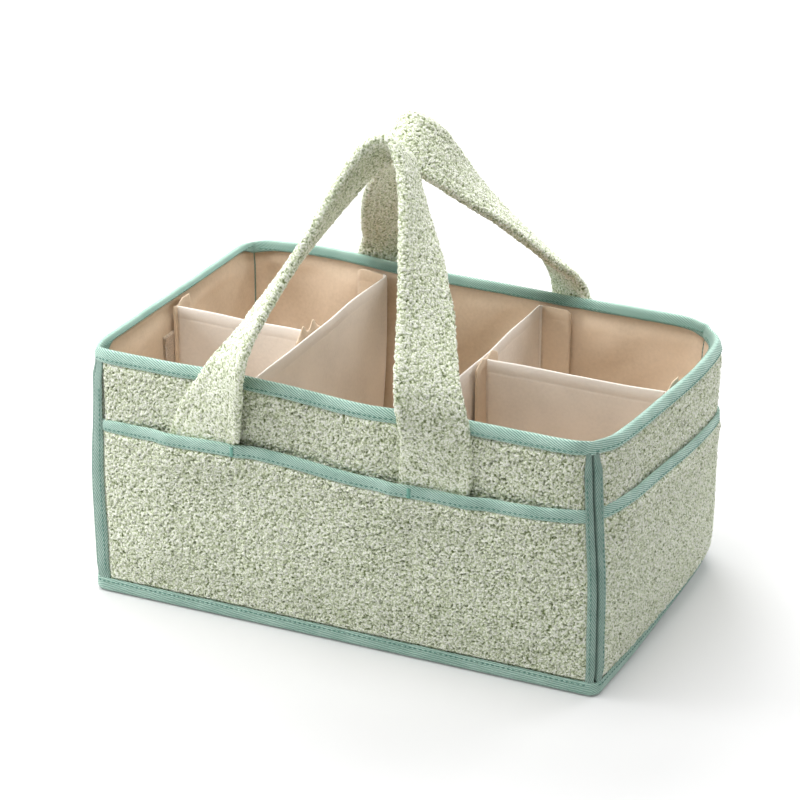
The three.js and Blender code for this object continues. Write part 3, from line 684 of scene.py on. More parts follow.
def make_pocket(wall, seed):
    sizes = bpy.context.scene.caddy_sizes
    rise, step = sizes.pile / MM, sizes.plush_step / MM
    low, high, top = FOOT_TOP - 2, MOUTH_LOW + 2, MOUTH_TOP - 1.5
    rows = levels((WALL_LOW, low, 4), (low, high, step), (high, top, 3))

    def ripple(s, z):
        return wall.mouth(s, z) * (0.9 * drift(s, z, 38, seed + 8) + 0.4 * drift(s, z, 17, seed + 9))

    def pile_at(s, z):
        sides = ramp(wall.room(s) + 0.5, 0, 4)
        return rise * sides * ramp(z, FOOT_TOP - 0.5, FOOT_TOP + 3) * ramp(MOUTH_LOW + 0.5 - z, 0, 3)

    def face(s, z):
        return wall.pocket(s, z) - 1.5 - ripple(s, z) * ramp(MOUTH_LOW - z, 0, 30)

    back_rows = levels((WALL_LOW, 60, 8), (60, top, 14))
    name = f"{wall.name}_pocket_plush"
    piece = plush_sheet(name, wall, rows, face, pile_at, back_rows, wall.pocket, seed)
    dress(piece, "plush", "plush", "lining")
    fit(piece, "caddy", f"{wall.name}_pocket")


def tape_row(name, wall, s, inset, z, way=-1.0):
    """Stitches along a wall's tape, on its outside or, with way 1, on its inside."""
    sizes = bpy.context.scene.caddy_sizes
    path = wall.at(s, inset, z)
    outward = wall.at(s, inset + way, z) - path
    pitch, stitch, thread = sizes.stitch_pitch / MM, sizes.stitch / MM, sizes.thread / MM
    piece = row_of_stitches(name, path, outward, pitch, stitch, thread)
    dress(piece, "tape", "thread")
    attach(piece, "caddy")
    return piece


def fold_section(half, low, top, puff=0.3):
    """A tape folded over an edge: offsets from the edge's middle, and heights."""
    h = top - low
    r = min(1.3, half * 0.6)
    leg = np.array([
        [half - 1.0, low + 0.1], [half - 0.35, low], [half, low + 0.45], [half + puff, low + 0.3 * h],
        [half + puff, low + 0.62 * h], [half, top - r], [half - 0.3 * r, top - 0.35 * r], [half - r, top],
    ])
    inside = np.array([[half - 1.15, top - 1.5], [-half + 1.15, top - 1.5]])
    return np.concatenate([leg * (-1, 1), [[0, top + 0.12]], leg[::-1], inside])


STITCH_UP = 2.4  # from a tape's free edge to its stitches


def make_pocket_tape(wall, seed):
    end = wall.tape_start + 3.0
    s = np.linspace(-end, end, int(end))
    middle = wall.pocket(s, MOUTH_TOP) - 1.0
    half = (2.1 if wall.straps else 1.35) * (0.6 + 0.4 * ramp(wall.room(s), -2, 6))
    wave = 0.45 * drift(s, 0 * s, 11, seed) + 0.25 * drift(s, 0 * s, 4.5, seed + 1)
    sag = 0.7 * drift(s, 0 * s, 48, seed + 2)
    rings = []
    for k, place in enumerate(s):
        section = fold_section(half[k], MOUTH_LOW, MOUTH_TOP, 0.25)
        inset = middle[k] + section[:, 0] + wave[k] * 0.35 * np.sign(section[:, 0])
        low = ramp(MOUTH_LOW + 4 - section[:, 1], 0, 4)
        rings.append(wall.at(place, inset, section[:, 1] + sag[k] + 0.5 * wave[k] * low))
    piece = loft(f"{wall.name}_pocket_binding", np.array(rings))
    dress(piece, "tape", "tape")
    fit(piece, "caddy", f"{wall.name}_pocket_tape")
    sewn = wall.room(s) > 1
    inset, level = (middle - half - 0.2)[sewn], MOUTH_LOW + STITCH_UP + sag[sewn]
    stitch = tape_row(f"{wall.name}_pocket_stitches", wall, s[sewn], inset, level)
    for number, seam in enumerate(wall.stitches):
        inset = np.interp(seam, s, middle - half) - 0.3
        make_bar_tack(f"{wall.name}_bar_tack_{number + 1}", wall, seam, inset)


TACK_HALF = 1.3  # half the length of a tack's threads
TACK_THREAD = 0.3  # radius of one
TACK_PITCH = 0.52


def make_bar_tack(name, wall, s, inset):
    """A dense upright block of short threads that holds the pocket's top at a seam."""
    z = np.arange(MOUTH_LOW + 0.8, MOUTH_TOP - 0.8, TACK_PITCH)
    across = np.linspace(-TACK_HALF, TACK_HALF, 7)
    path = np.array([wall.at(s + across, inset, level) for level in z])
    up = unit(np.array([wall.at(s + across, inset - 1, level) for level in z]) - path)
    lift = 0.35 * np.cos(across / TACK_HALF * math.pi / 2) - 0.1
    angle = -np.arange(6)[:, None] * math.pi / 3
    ring = np.cos(angle) * up[:, :, None] + np.sin(angle) * np.array([0, 0, 1.0])
    piece = threads(name, (path + up * lift[:, None])[:, :, None] + TACK_THREAD * ring)
    dress(piece, "tape", "tack")
    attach(piece, "caddy")


def edge_tuck(z):
    """How far an edge tape goes in, under the rim's tape and the base's."""
    return 2.4 * ramp(z, RIM_LOW - 12, RIM_LOW) + 0.7 * ramp(FOOT_TOP + 10 - z, 0, 10)


def make_edge_tape(wall, side, seed):
    """The tape on one upright edge: a leg over the plush that turns in at the slit of the corner."""
    z = np.linspace(FOOT_TOP - 1.0, RIM_LOW + 1.5, 110)
    start, end = wall.tape_start - wall.wide[max(side, 0)], wall.tape_end
    leg = np.linspace(0, 1, 9)
    rings = []
    wave = 0.4 * drift(z, 0 * z, 9, seed) + 0.25 * drift(z, 0 * z, 4, seed + 1)
    edge = 0.5 * drift(z, 0 * z, 23, seed + 2)
    for k, level in enumerate(z):
        s = start + edge[k] + (end - start - edge[k]) * leg
        flare = 0.3 * ramp(leg, 0.3, 1.0)
        puff = 0.35 * np.sin(math.pi * leg) * (1 + wave[k])
        tuck = edge_tuck(level)
        outer = tuck - 1.55 - flare - puff
        outer = outer + np.where(leg < 0.06, 0.55, 0.0) + np.where(leg > 0.99, 0.7, 0.0)
        deep = LINING_IN + 0.25 - 2.9 * ramp(level, *RIM_TURN)
        ring_s = np.concatenate([s, [end + 0.05, end, end - 2.0], np.minimum(s, end - 2.0)[::-1]])
        inset = np.concatenate([outer, [2.6, deep, deep], (tuck - 0.55 - flare)[::-1]])
        rings.append(wall.at(side * ring_s, inset, level))
    edge_name = wall.ends[max(side, 0)]
    piece = loft(f"{wall.name}_wall_{edge_name}_edge_binding", np.array(rings))
    # The darker copy of the tape: painted shade on the corner tapes
    dress(piece, "tape", "edge_tape")
    fit(piece, "caddy", f"{wall.name}_panel_{edge_name}_edge_tape")
    sewn, at = z[4:-8], side * (start + STITCH_UP)
    stitch = tape_row(piece.name.replace("binding", "stitches"), wall, at, edge_tuck(sewn) - 1.85, sewn)


def make_edge_tapes(wall, seed):
    for side in (-1, 1):
        make_edge_tape(wall, side, seed + side)


def round_the_body(step):
    """Every wall's places in turn, right round: (wall, s)."""
    for wall in WALLS:
        for s in np.linspace(-wall.corner, wall.corner, int(2 * wall.corner / step) + 1)[:-1]:
            yield wall, s


RIM_SHORT = {"left": 0.7, "back": 0.25}  # share of the inside leg that is turned up
TAPE_STEP = 2.6  # spacing of sections along the tapes that run right round


def make_rim_tape():
    """The tape folded over the rim, outside leg first in its section, and its two rows of stitches."""
    h = RIM_TOP - RIM_LOW
    section = np.array([
        [1.6, 0.1], [0.9, 0.0], [0.5, 0.45], [0.2, 0.3 * h], [0.7, 0.66 * h], [1.8, h - 1.3],
        [2.3, h - 0.4], [3.0, h], [4.0, h + 0.1], [4.9, h - 0.05], [5.5, h - 0.5], [6.0, h - 1.4],
        [7.3, 0.62 * h], [9.0, 0.28 * h], [9.7, 0.5], [9.4, 0.0], [8.5, 0.1], [6.3, 0.62 * h],
        [4.8, h - 1.5], [3.0, h - 1.5], [1.9, 0.62 * h],
    ]) + np.array([0, RIM_LOW])
    rings = []
    stops = list(round_the_body(TAPE_STEP))
    for k, (wall, s) in enumerate(stops):
        run = TAPE_STEP * k
        turn = 2 * math.pi * k / len(stops)
        wave = float(0.5 * drift(run, 0.0, 12, 31) + 0.3 * drift(run, 3.0, 5, 32))
        fade = math.sin(turn / 2)
        sway = float(0.8 * drift(run, 9.0, 60, 33)) * fade
        low = ramp(RIM_LOW + 4 - section[:, 1], 0, 4)
        short = RIM_SHORT.get(wall.name, 0.0) * ramp(wall.half - abs(s), 4, 24)
        height = section[:, 1] + short * np.where(section[:, 0] > 5.2, RIM_TOP - section[:, 1], 0)
        inset = section[:, 0] + 0.35 * wave * np.sign(section[:, 0] - 4.2)
        inset = inset - 0.4 * short * np.maximum(section[:, 0] - 5.2, 0)
        rings.append(wall.at(s, inset, height + sway + 0.55 * wave * low))
    # Mark of the inside leg, for the tape's painted shade there
    inside = np.tile(ramp(section[:, 0], 4.6, 7.4), (len(rings), 1))
    piece = loft("rim_binding", np.array(rings), loop=True, pile=inside)
    dress(piece, "tape", "tape")
    fit(piece, "caddy", "rim_tape")
    for wall in WALLS:
        s = np.linspace(-wall.corner + 1, wall.corner - 1, 160)
        short = RIM_SHORT.get(wall.name, 0.0)
        level = RIM_LOW + 2.6
        tape_row(f"{wall.name}_rim_outer_stitches", wall, s, 0.15, level)
        inset, level = 9.15 - 1.6 * short, level + 5 * short
        tape_row(f"{wall.name}_rim_inner_stitches", wall, s, inset, level, 1.0)


def make_base_tape():
    """The tape that closes the bottom edge: up the wall and under the base."""
    rings = []
    for k, (wall, s) in enumerate(round_the_body(TAPE_STEP)):
        run = TAPE_STEP * k
        wave = float(0.4 * drift(run, 1.0, 10, 51) + 0.25 * drift(run, 5.0, 4.5, 52))
        top = FOOT_TOP + 0.5 * wave
        section = np.array([
            [-0.6, top - 0.3], [-1.0, top + 0.05], [-1.6, top - 0.35], [-2.1 - 0.3 * wave, 7.4],
            [-2.2 - 0.3 * wave, 4.2], [-1.8, 1.9], [-1.0, 0.7], [0.2, 0.3], [4.0, 0.3], [8.2, 0.35],
            [8.7, 0.8], [8.2, 1.4], [0.6, 1.5], [-0.5, 2.4],
        ])
        rings.append(wall.at(s, section[:, 0], section[:, 1]))
    piece = loft("base_binding", np.array(rings), loop=True)
    dress(piece, "tape", "tape")
    fit(piece, "caddy", "base_tape")
    for wall in WALLS:
        s = np.linspace(-wall.corner + 1, wall.corner - 1, 160)
        tape_row(f"{wall.name}_base_stitches", wall, s, -1.95, FOOT_TOP - 2.2)


LOOP_STRIPS = ("left_wall_loops", "right_wall_loops", "front_wall_left_loops", "front_wall_right_loops",
               "back_wall_left_loops", "back_wall_right_loops")
FOLD_MOST = 3.0  # deepest that a fold of the lining goes
STRIP_CALM = 18  # spread beside a loop strip in which the lining lies flat


def make_lining(wall, seed):
    depth = bpy.context.scene.caddy_sizes.wrinkle / MM
    s = np.linspace(-wall.cloth_end + 0.4, wall.cloth_end - 0.4, int(wall.cloth_end / 1.4))
    rows = levels((WALL_LOW + 4, WALL_TOP - 3, 2.6))
    along, up = np.meshgrid(s, rows, indexing="ij")
    slant = along * 0.75 + up * 0.66
    cross = up * 0.75 - along * 0.66
    fold = drift(slant / 34, cross / 90, 1.0, seed) + 0.45 * drift(slant / 15, cross / 46, 1.0, seed + 1)
    fold = FOLD_MOST * np.tanh(depth * 0.6 * fold / FOLD_MOST)
    fold = fold * ramp(wall.cloth_end - np.abs(along), 0, 16) * ramp(WALL_TOP - 8 - up, 0, 14)
    for node in (n for n in LOOP_STRIPS if n.startswith(wall.name)):
        middle = sum(box_mm(node)) / 2
        strip = middle[0] * math.cos(wall.turn) + middle[1] * math.sin(wall.turn)
        fold = fold * (1 - hump((along - strip) / STRIP_CALM))
    fold = fold + 2.6 * ramp(up, *RIM_TURN)
    inner = wall.at(along, LINING_IN - fold, up)
    outer = wall.at(along, LINING_OUT - fold, up)
    piece = loft(f"{wall.name}_wall_lining", np.concatenate([inner, outer[:, ::-1]], axis=1))
    dress(piece, "lining", "lining")
    fit(piece, "caddy", f"{wall.name}_lining")


def make_base():
    low, high = box_mm("base_lining")
    high[0] += 6.0  # out to the right wall, which stands further out than it was cut
    x = np.linspace(low[0], high[0], 130)
    y = np.linspace(low[1], high[1], 84)
    along, across = np.meshgrid(x, y, indexing="ij")
    fold = 0.5 * drift(along, across, 46, 71) + 0.25 * drift(along, across, 18, 72)
    top = slump(np.stack([along, across, FLOOR_TOP - 0.5 + fold * 0.6], -1))
    under = slump(np.stack([along, across, FLOOR_TOP - 1.4 + fold * 0.6], -1))
    piece = loft("floor_lining", np.concatenate([top, under[:, ::-1]], axis=1))
    dress(piece, "lining", "lining")
    fit(piece, "caddy", "base_lining", "base_board")

    sizes = bpy.context.scene.caddy_sizes
    reach_x, reach_y = HALF_LENGTH - 7, HALF_WIDTH - 7
    x = np.linspace(-reach_x, reach_x, 230)
    y = np.linspace(-reach_y, reach_y, 142)
    along, across = np.meshgrid(x, y, indexing="ij")
    height = curls(along + 500, across + 300, sizes.nub / MM * 1.25, 81)
    edge = np.minimum(ramp(reach_x - np.abs(along), 1, 5), ramp(reach_y - np.abs(across), 1, 5))
    down = np.stack([along, across, 2.2 - 2.2 * height * edge], -1)
    over = np.stack([along[:, [0, -1]], across[:, [0, -1]], np.full((len(x), 2), 3.0)], -1)
    rings = slump(np.concatenate([down, over[:, ::-1]], axis=1))
    pile = np.concatenate([height, np.full((len(x), 2), 0.3)], axis=1)
    piece = loft("base_plush", rings, pile=pile)
    dress(piece, "plush", "plush")
    fit(piece, "caddy", "base_cloth")


# Carrying straps

SEWN_MIDDLE = -2.3  # inset of the middle of a strap where it is sewn flat
# A strap's middle line from its right end to its left: (x, height above the rim along the lean).
STRAP_LINES = {
    "front": [(73, -65), (74, -46), (77, 0), (57, 61), (40, 108), (19, 155), (7, 168),
              (-11, 155), (-36, 101), (-54, 58), (-72, 4), (-97, -48), (-99, -65)],
    "back": [(73, -65), (72, -46), (69, 0), (39, 78), (22, 122), (8, 157), (-9, 172),
             (-25, 159), (-41, 117), (-52, 80), (-76, 0), (-91, -46), (-93, -65)],
}
# How far a strap's left and right legs have turned on edge at a height, as a share of a quarter turn.
STRAP_TURN = {
    "front": (
        ((-40, 0), (-25, 0.12), (0, 0.32), (12, 0.44), (25, 0.54), (60, 0.64), (98, 0.74), (130, 0.86),
         (166, 1.0)),
        ((-40, 0), (-25, 0.13), (0, 0.35), (25, 0.49), (60, 0.6), (98, 0.78), (130, 0.98), (150, 1.05),
         (166, 1.02)),
    ),
    "back": (
        ((-40, 0), (-25, 0.09), (0, 0.26), (25, 0.38), (60, 0.5), (98, 0.64), (130, 0.82), (166, 1.0)),
        ((-40, 0), (-30, 0.14), (-18, 0.31), (0, 0.4), (25, 0.39), (60, 0.42), (98, 0.53), (130, 0.74),
         (166, 1.0)),
    ),
}
# Wall, way round, lean over the caddy in degrees, its bend's radius, share stood off and where that ends.
STRAPS = {"front": (FRONT, 1, 33.0, 60.0, 1.0, (0, 70)), "back": (BACK, -1, 42.0, 45.0, 0.75, (-8, 40))}
STRAP_STEP = 0.95  # spacing of sections along a strap
STRAP_POINTS = 50  # across each face of a section
SEAM_FROM_EDGE = 6.0  # the sewn groove along each side of a strap


def smooth_line(points, step):
    """A smooth curve through points, at even steps."""
    p = np.array(points, float)
    p = np.concatenate([2 * p[:1] - p[1:2], p, 2 * p[-1:] - p[-2:-1]])
    made = []
    for a, b, c, d in zip(p, p[1:], p[2:], p[3:]):
        t = np.linspace(0, 1, 24)[:-1, None]
        bent = 2 * b + (c - a) * t + (2 * a - 5 * b + 4 * c - d) * t ** 2
        made.append(0.5 * (bent + (3 * b - a - 3 * c + d) * t ** 3))
    line = np.concatenate([*made, p[-2:-1]])
    run = run_along(line)
    line = at_run(np.linspace(0, run[-1], int(run[-1] / step)), run, line)
    for _ in range(6):
        line[1:-1] = (line[:-2] + 2 * line[1:-1] + line[2:]) / 4
    return line


def eased(values, times):
    for _ in range(times):
        between = (values[:-2] + 2 * values[1:-1] + values[2:]) / 4
        values = np.concatenate([values[:1], between, values[-1:]])
    return values


def make_strap(name, seed):
    sizes = bpy.context.scene.caddy_sizes
    wall, mirror, lean, bend_radius, stood, stood_until = STRAPS[name]
    line = smooth_line([(mirror * x, q) for x, q in STRAP_LINES[name]][::mirror], STRAP_STEP)
    x, q = line[:, 0], line[:, 1]
    way = unit(np.gradient(line, axis=0))
    left, right = (np.interp(q, *zip(*leg)) for leg in STRAP_TURN[name])
    turn = eased(np.where(mirror * x > 0, right, left), 60)
    foot, leg, crown = sizes.foot_width / MM, sizes.strap_width / MM, sizes.crown_width / MM
    width = foot + (leg - foot) * ramp(q, -46, -4) + (crown - leg) * ramp(q, 60, 150)
    tilt = np.minimum(np.maximum(q, 0) / bend_radius, math.radians(lean))
    past = q - bend_radius * tilt
    y = bend_radius * (1 - np.cos(tilt)) + past * np.sin(tilt)
    z = HINGE_Z + bend_radius * np.sin(tilt) + past * np.cos(tilt)
    swing = width / 2 * np.sin(turn * math.pi / 2) - 1.5
    stand = np.maximum(swing, 0) * stood * ramp(q, -46, -12) * (1 - ramp(q, *stood_until))
    middle = np.stack([x, -wall.depth + SEWN_MIDDLE - stand + y, z], -1)
    up = np.stack([0 * tilt, np.sin(tilt), np.cos(tilt)], -1)
    out = np.stack([0 * tilt, -np.cos(tilt), np.sin(tilt)], -1)
    inward = np.array([1.0, 0, 0]) * -way[:, 1:] + up * way[:, :1]
    c, k = np.cos(turn * math.pi / 2)[:, None], np.sin(turn * math.pi / 2)[:, None]
    across = inward * c + out * k
    face = out * c - inward * k
    thick = sizes.strap_thickness / MM * (0.68 + 0.32 * ramp(q, -46, -26))
    pile = 0.45 + 1.75 * ramp(q, -46, -34)
    run = run_along(middle)

    flat = np.linspace(-1, 1, STRAP_POINTS)
    bend = np.linspace(-math.pi / 2, math.pi / 2, 9)[1:-1]
    round_right = np.stack([np.cos(bend[::-1]), np.sin(bend[::-1])], -1)
    round_left = np.stack([-np.cos(bend), np.sin(bend)], -1)
    plain = np.tile([0.0, 1.0], (STRAP_POINTS, 1))
    normal = np.concatenate([plain, round_right, -plain, round_left])
    camber = 0.5 * (1 - flat ** 4)
    rings, girth = [], []
    for t, w in zip(thick / 2, width / 2 - thick / 2):
        groove = 0.75 * hump((np.abs(flat) * w - (w - SEAM_FROM_EDGE)) / 1.3)
        rise = t + camber - groove
        ring = np.concatenate([
            np.stack([flat * w, rise], -1), [w, 0] + t * round_right,
            np.stack([flat[::-1] * w, -rise], -1), [-w, 0] + t * round_left,
        ])
        girth.append(run_along(ring))
        rings.append(ring)
    girth = np.array(girth)
    nubs = curls(girth + 400, run[:, None] + 200, sizes.nub / MM, seed)
    lean_along = NUB_LEAN * drift(girth, run[:, None], NUB_LEAN_SIZE, seed + 3)
    points = []
    for i, ring in enumerate(rings):
        section = ring + normal * (pile[i] * nubs[i])[:, None]
        p = middle[i] + section[:, :1] * across[i] + section[:, 1:] * face[i]
        points.append(p + lean_along[i][:, None] * np.cross(across[i], face[i]))
    piece = loft(f"{name}_strap", slump(wall.place(np.array(points))), pile=nubs)
    dress(piece, "plush", "plush")
    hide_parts(f"{name}_handle", f"{name}_handle_left_end", f"{name}_handle_right_end")
    y = wall.place(np.array([0.0, -wall.depth, 0.0]))[1]
    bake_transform(piece)


# Dividers

CLOTH_ROWS = 16  # rows of points below a hem
DIVIDER_THICK = 1.9
TAB_THICK = 1.2  # a single turned cloth
TAB_DROP = 2.5  # how far a tab's top falls at its free end


def standing_cloth(name, path, thick, low, top, seed, hem=9.0, bow=0.7):
    """A stiff upright piece that follows a line in plan, with a folded hem along its top."""
    way = unit(np.gradient(path, axis=0))
    side = np.stack([-way[:, 1], way[:, 0]], -1)
    run = run_along(path)
    thick = np.broadcast_to(thick, run.shape)
    top = np.broadcast_to(top, run.shape)
    rings = []
    for i in range(len(path)):
        edge = top[i] - hem
        fold = [edge - 0.5, edge, edge + 0.8, edge + 0.5 * hem, top[i] - 0.9]
        z = np.concatenate([np.linspace(low, edge - 1.6, CLOTH_ROWS), fold])
        half = thick[i] / 2 * np.ones(len(z))
        half[CLOTH_ROWS + 1] -= 0.12  # the hem's edge is pressed in, and the hem stands a little proud
        half[CLOTH_ROWS + 2:] += 0.08
        half[-1] *= 0.62
        swell = bow * drift(run[i], z, 52, seed) * ramp(z, low, low + 30)
        crest = 0.5 * drift(run[i], 0.0, 30, seed + 1)
        level = z + crest * ramp(z, edge - 20, top[i])
        plus = np.stack([half + swell, level], -1)
        minus = np.stack([-half + swell, level], -1)[::-1]
        cap, cap_level = half[-1] * 0.55, top[i] + crest - 0.2
        caps = np.array([[cap + swell[-1], cap_level], [-cap + swell[-1], cap_level]])
        section = np.concatenate([plus, caps, minus])
        plan = path[i] + section[:, :1] * side[i]
        rings.append(np.concatenate([plan, section[:, 1:]], axis=1))
    face = np.concatenate([np.zeros(CLOTH_ROWS + 1), np.full(3, 0.55), [1.0, 1.0]])
    mark = np.concatenate([face, face[::-1]])
    return loft(name, slump(np.array(rings)), pile=np.tile(mark, (len(path), 1)))


def bent_path(corners, radius, step=3.0):
    """A line through corners in plan, with each inner corner rounded."""
    corners = [np.array(c, float) for c in corners]
    points = [corners[0]]
    for before, at, after in zip(corners, corners[1:], corners[2:]):
        start, end = at + unit(before - at) * radius, at + unit(after - at) * radius
        for t in np.linspace(0, 1, 6):
            points.append((1 - t) ** 2 * start + 2 * t * (1 - t) * at + t * t * end)
    points.append(corners[-1])
    points = np.array(points)
    run = run_along(points)
    at = np.unique(np.concatenate([np.linspace(0, run[-1], int(run[-1] / step)), run]))
    return at_run(at, run, points), at


def make_cross_divider(place):
    side = -1 if place == "left" else 1
    name = f"{place}_cross_divider"
    low, high = box_mm(name)
    x = (low[0] if side > 0 else high[0]) + side * DIVIDER_THICK
    tab_end = high[0] if side > 0 else low[0]
    y_front, y_back = low[1], high[1]
    corners = [(x, y_front + 0.4), (x, y_back - 0.7), (tab_end, y_back - 0.7)]
    path, run = bent_path(corners, 2.6)
    total = run[-1]
    tab = ramp(run, total - 25, total - 20)
    thick = DIVIDER_THICK - 0.6 * tab
    top = DIVIDER_TOP - TAB_DROP * ramp(run, total - 2.5, total)
    piece = standing_cloth(f"{name}_cloth", path, thick, low[2], top, 101 + side, bow=1.2)
    dress(piece, "divider", "divider", "lining")
    for face in piece.data.polygons:
        face.material_index = int(abs(face.center.x / MM - x) > 4)  # the turned tab is lining cloth
    fit(piece, name, name)
    node = f"{name}_front_tab"
    low, high = box_mm(node)
    y = (low[1] + high[1]) / 2
    ends = sorted([low[0], high[0]], reverse=side < 0)
    path = np.stack([np.linspace(ends[0], ends[1], 12), np.full(12, y)], -1)
    top = DIVIDER_TOP - TAB_DROP * ramp(np.linspace(0, 1, 12), 0.85, 1)
    piece = standing_cloth(f"{node}_cloth", path, TAB_THICK, low[2], top, 111 + side, bow=0.0)
    dress(piece, "divider", "divider")
    fit(piece, "caddy", node)


def make_long_divider(place):
    side = -1 if place == "left" else 1
    name = f"{place}_divider"
    low, high = box_mm(name)
    y = (low[1] + high[1]) / 2
    x = np.linspace(low[0] + 0.7, high[0] - 0.7, 44)
    path = np.stack([x, np.full(len(x), y)], -1)
    piece = standing_cloth(f"{name}_cloth", path, DIVIDER_THICK, low[2], DIVIDER_TOP, 121 + side, bow=1.0)
    dress(piece, "divider", "divider")
    fit(piece, name, name)
    for end, at in (("left", low[0] + 0.6), ("right", high[0] - 0.6)):
        at_wall = (end == "left") == (side < 0)
        ys = np.linspace(y - 4 if at_wall else low[1], high[1], 31)
        path = np.stack([np.full(31, at), ys], -1)
        off = np.abs(ys - y)
        peak = 3.5 * ramp(off, 1, 9)
        if not at_wall:
            peak = (4.0 - 2.0 * side) * hump((off - 7.5) / 3.6) - 3.0 * ramp(off, 12, 19)
        top = DIVIDER_TOP + 0.4 + peak
        flap = standing_cloth(f"{name}_{end}_flap", path, TAB_THICK, low[2], top, 131 + side, bow=0.0)
        dress(flap, "divider", "lining")
        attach(flap, name)


def make_grip_strip(node, body, key):
    """A strip of hook or loop tape with a fuzzy face and soft edges."""
    low, high = box_mm(node)
    thin = 0 if high[0] - low[0] < high[1] - low[1] else 1
    wide = 1 - thin
    z = np.linspace(low[2], high[2], 60)
    w = np.linspace(low[wide], high[wide], 11)
    grid_z, grid_w = np.meshgrid(z, w, indexing="ij")
    fuzz = 0.12 * (drift(grid_z, grid_w, 1.3, 141) + 1)
    edge = 0.25 * (1 - ramp(np.minimum(grid_w - low[wide], high[wide] - grid_w), 0, 1.2))
    faces = []
    for depth in (low[thin] + fuzz + edge, high[thin] - fuzz - edge):
        p = np.zeros(grid_z.shape + (3,))
        p[..., wide], p[..., thin], p[..., 2] = grid_w, depth, grid_z
        faces.append(p)
    piece = loft(f"{node}_tape", slump(np.concatenate([faces[0], faces[1][:, ::-1]], axis=1)))
    dress(piece, key, key)
    fit(piece, body, node)


# Stage, in metres

FLOOR_REACH = 9.0
FLOOR_DROP = -0.0004
LAMP_AIM = (0, 0, 0.12)
LAMPS = (  # name, place, size and the setting that holds its power
    ("left_lamp", (-0.74, -0.36, 0.56), 0.5, "left_power"),
    ("right_lamp", (0.58, 0.66, 0.54), 0.45, "right_power"),
    ("top_lamp", (-0.1, -0.3, 2.1), 1.7, "top_power"),
    ("back_lamp", (-0.9, 1.0, 1.6), 1.3, "back_power"),
)
CAMERA_TURN, CAMERA_RISE = math.radians(25.39), math.radians(24.53)
CAMERA_AWAY = 1.671
CAMERA_TARGET = (-0.0065, 0.0, 0.1285)
CAMERA_SENSOR, CAMERA_LENS = 36.0, 108.0  # in millimetres
WHITE = (1, 1, 1, 1)


def make_floor(settings):
    """A white floor that keeps shadows, with a glow in view that grows further off."""
    mesh = bpy.data.meshes.new("studio_floor")
    signs = ((-1, -1), (1, -1), (1, 1), (-1, 1))
    corners = [(x * FLOOR_REACH, y * FLOOR_REACH, FLOOR_DROP) for x, y in signs]
    mesh.from_pydata(corners, [], [(0, 1, 2, 3)])
    floor = bpy.data.objects.new("studio_floor", mesh)
    bpy.context.scene.collection.objects.link(floor)
    f = Finish("white_floor", Roughness=0.9, Specular_IOR_Level=0.1)
    f.shader.inputs["Base Color"].default_value = (0.85, 0.85, 0.85, 1)
    seen = f.node("LightPath").outputs
    fac = f.math("MAXIMUM", seen["Is Camera Ray"], seen["Is Glossy Ray"])
    fac = f.math("MAXIMUM", fac, seen["Is Transmission Ray"])
    pale = f.node("BsdfDiffuse", {"Color": (0.6, 0.6, 0.6, 1)})
    where = f.node("TexCoord").outputs["Object"]
    away = f.node("VectorMath", {0: where}, operation="LENGTH").outputs["Value"]
    runs = ((0.25, 1.3, settings.glow_near, settings.glow_far), (1.3, 3.0, 0.0, 0.6))
    keys = ("From Min", "From Max", "To Min", "To Max")
    parts = [f.node("MapRange", {"Value": away, **dict(zip(keys, run))}).outputs["Result"] for run in runs]
    glow = f.node("Emission", {"Color": WHITE, "Strength": f.math("ADD", *parts)})
    both, either = f.node("AddShader"), f.node("MixShader", {"Fac": fac})
    for start, end in ((pale.outputs[0], both.inputs[0]), (glow.outputs[0], both.inputs[1]),
                       (f.shader.outputs[0], either.inputs[1]), (both.outputs[0], either.inputs[2]),
                       (either.outputs[0], f.tree.nodes["Material Output"].inputs["Surface"])):
        f.tree.links.new(start, end)
    mesh.materials.append(f.material)


def make_world(settings):
    """Even light, which is seen as white."""
    world = bpy.data.worlds.new("even_light")
    world.use_nodes = True
    bpy.context.scene.world = world
    tree = world.node_tree
    even = tree.nodes["Background"]
    even.inputs["Color"].default_value = WHITE
    even.inputs["Strength"].default_value = settings.world_level
    white = tree.nodes.new("ShaderNodeBackground")
    white.inputs["Color"].default_value = WHITE
    white.inputs["Strength"].default_value = 1.0
    rays = tree.nodes.new("ShaderNodeLightPath").outputs
    fac = rays["Is Camera Ray"]
    for key in ("Is Glossy Ray", "Is Transmission Ray"):
        seen = tree.nodes.new("ShaderNodeMath")
        seen.operation, seen.use_clamp = "ADD", True
        tree.links.new(fac, seen.inputs[0])
        tree.links.new(rays[key], seen.inputs[1])
        fac = seen.outputs[0]
    mix = tree.nodes.new("ShaderNodeMixShader")
    for start, end in ((fac, mix.inputs["Fac"]), (even.outputs[0], mix.inputs[1]),
                       (white.outputs[0], mix.inputs[2]),
                       (mix.outputs[0], tree.nodes["World Output"].inputs["Surface"])):
        tree.links.new(start, end)


def make_lamps(settings):
    for name, place, size, key in LAMPS:
        lamp = bpy.data.lights.new(name, "AREA")
        lamp.shape, lamp.size, lamp.energy = "DISK", size, getattr(settings, key)
        holder = bpy.data.objects.new(name, lamp)
        holder.location = place
        holder.rotation_euler = (Vector(LAMP_AIM) - Vector(place)).to_track_quat("-Z", "Y").to_euler()
        bpy.context.scene.collection.objects.link(holder)


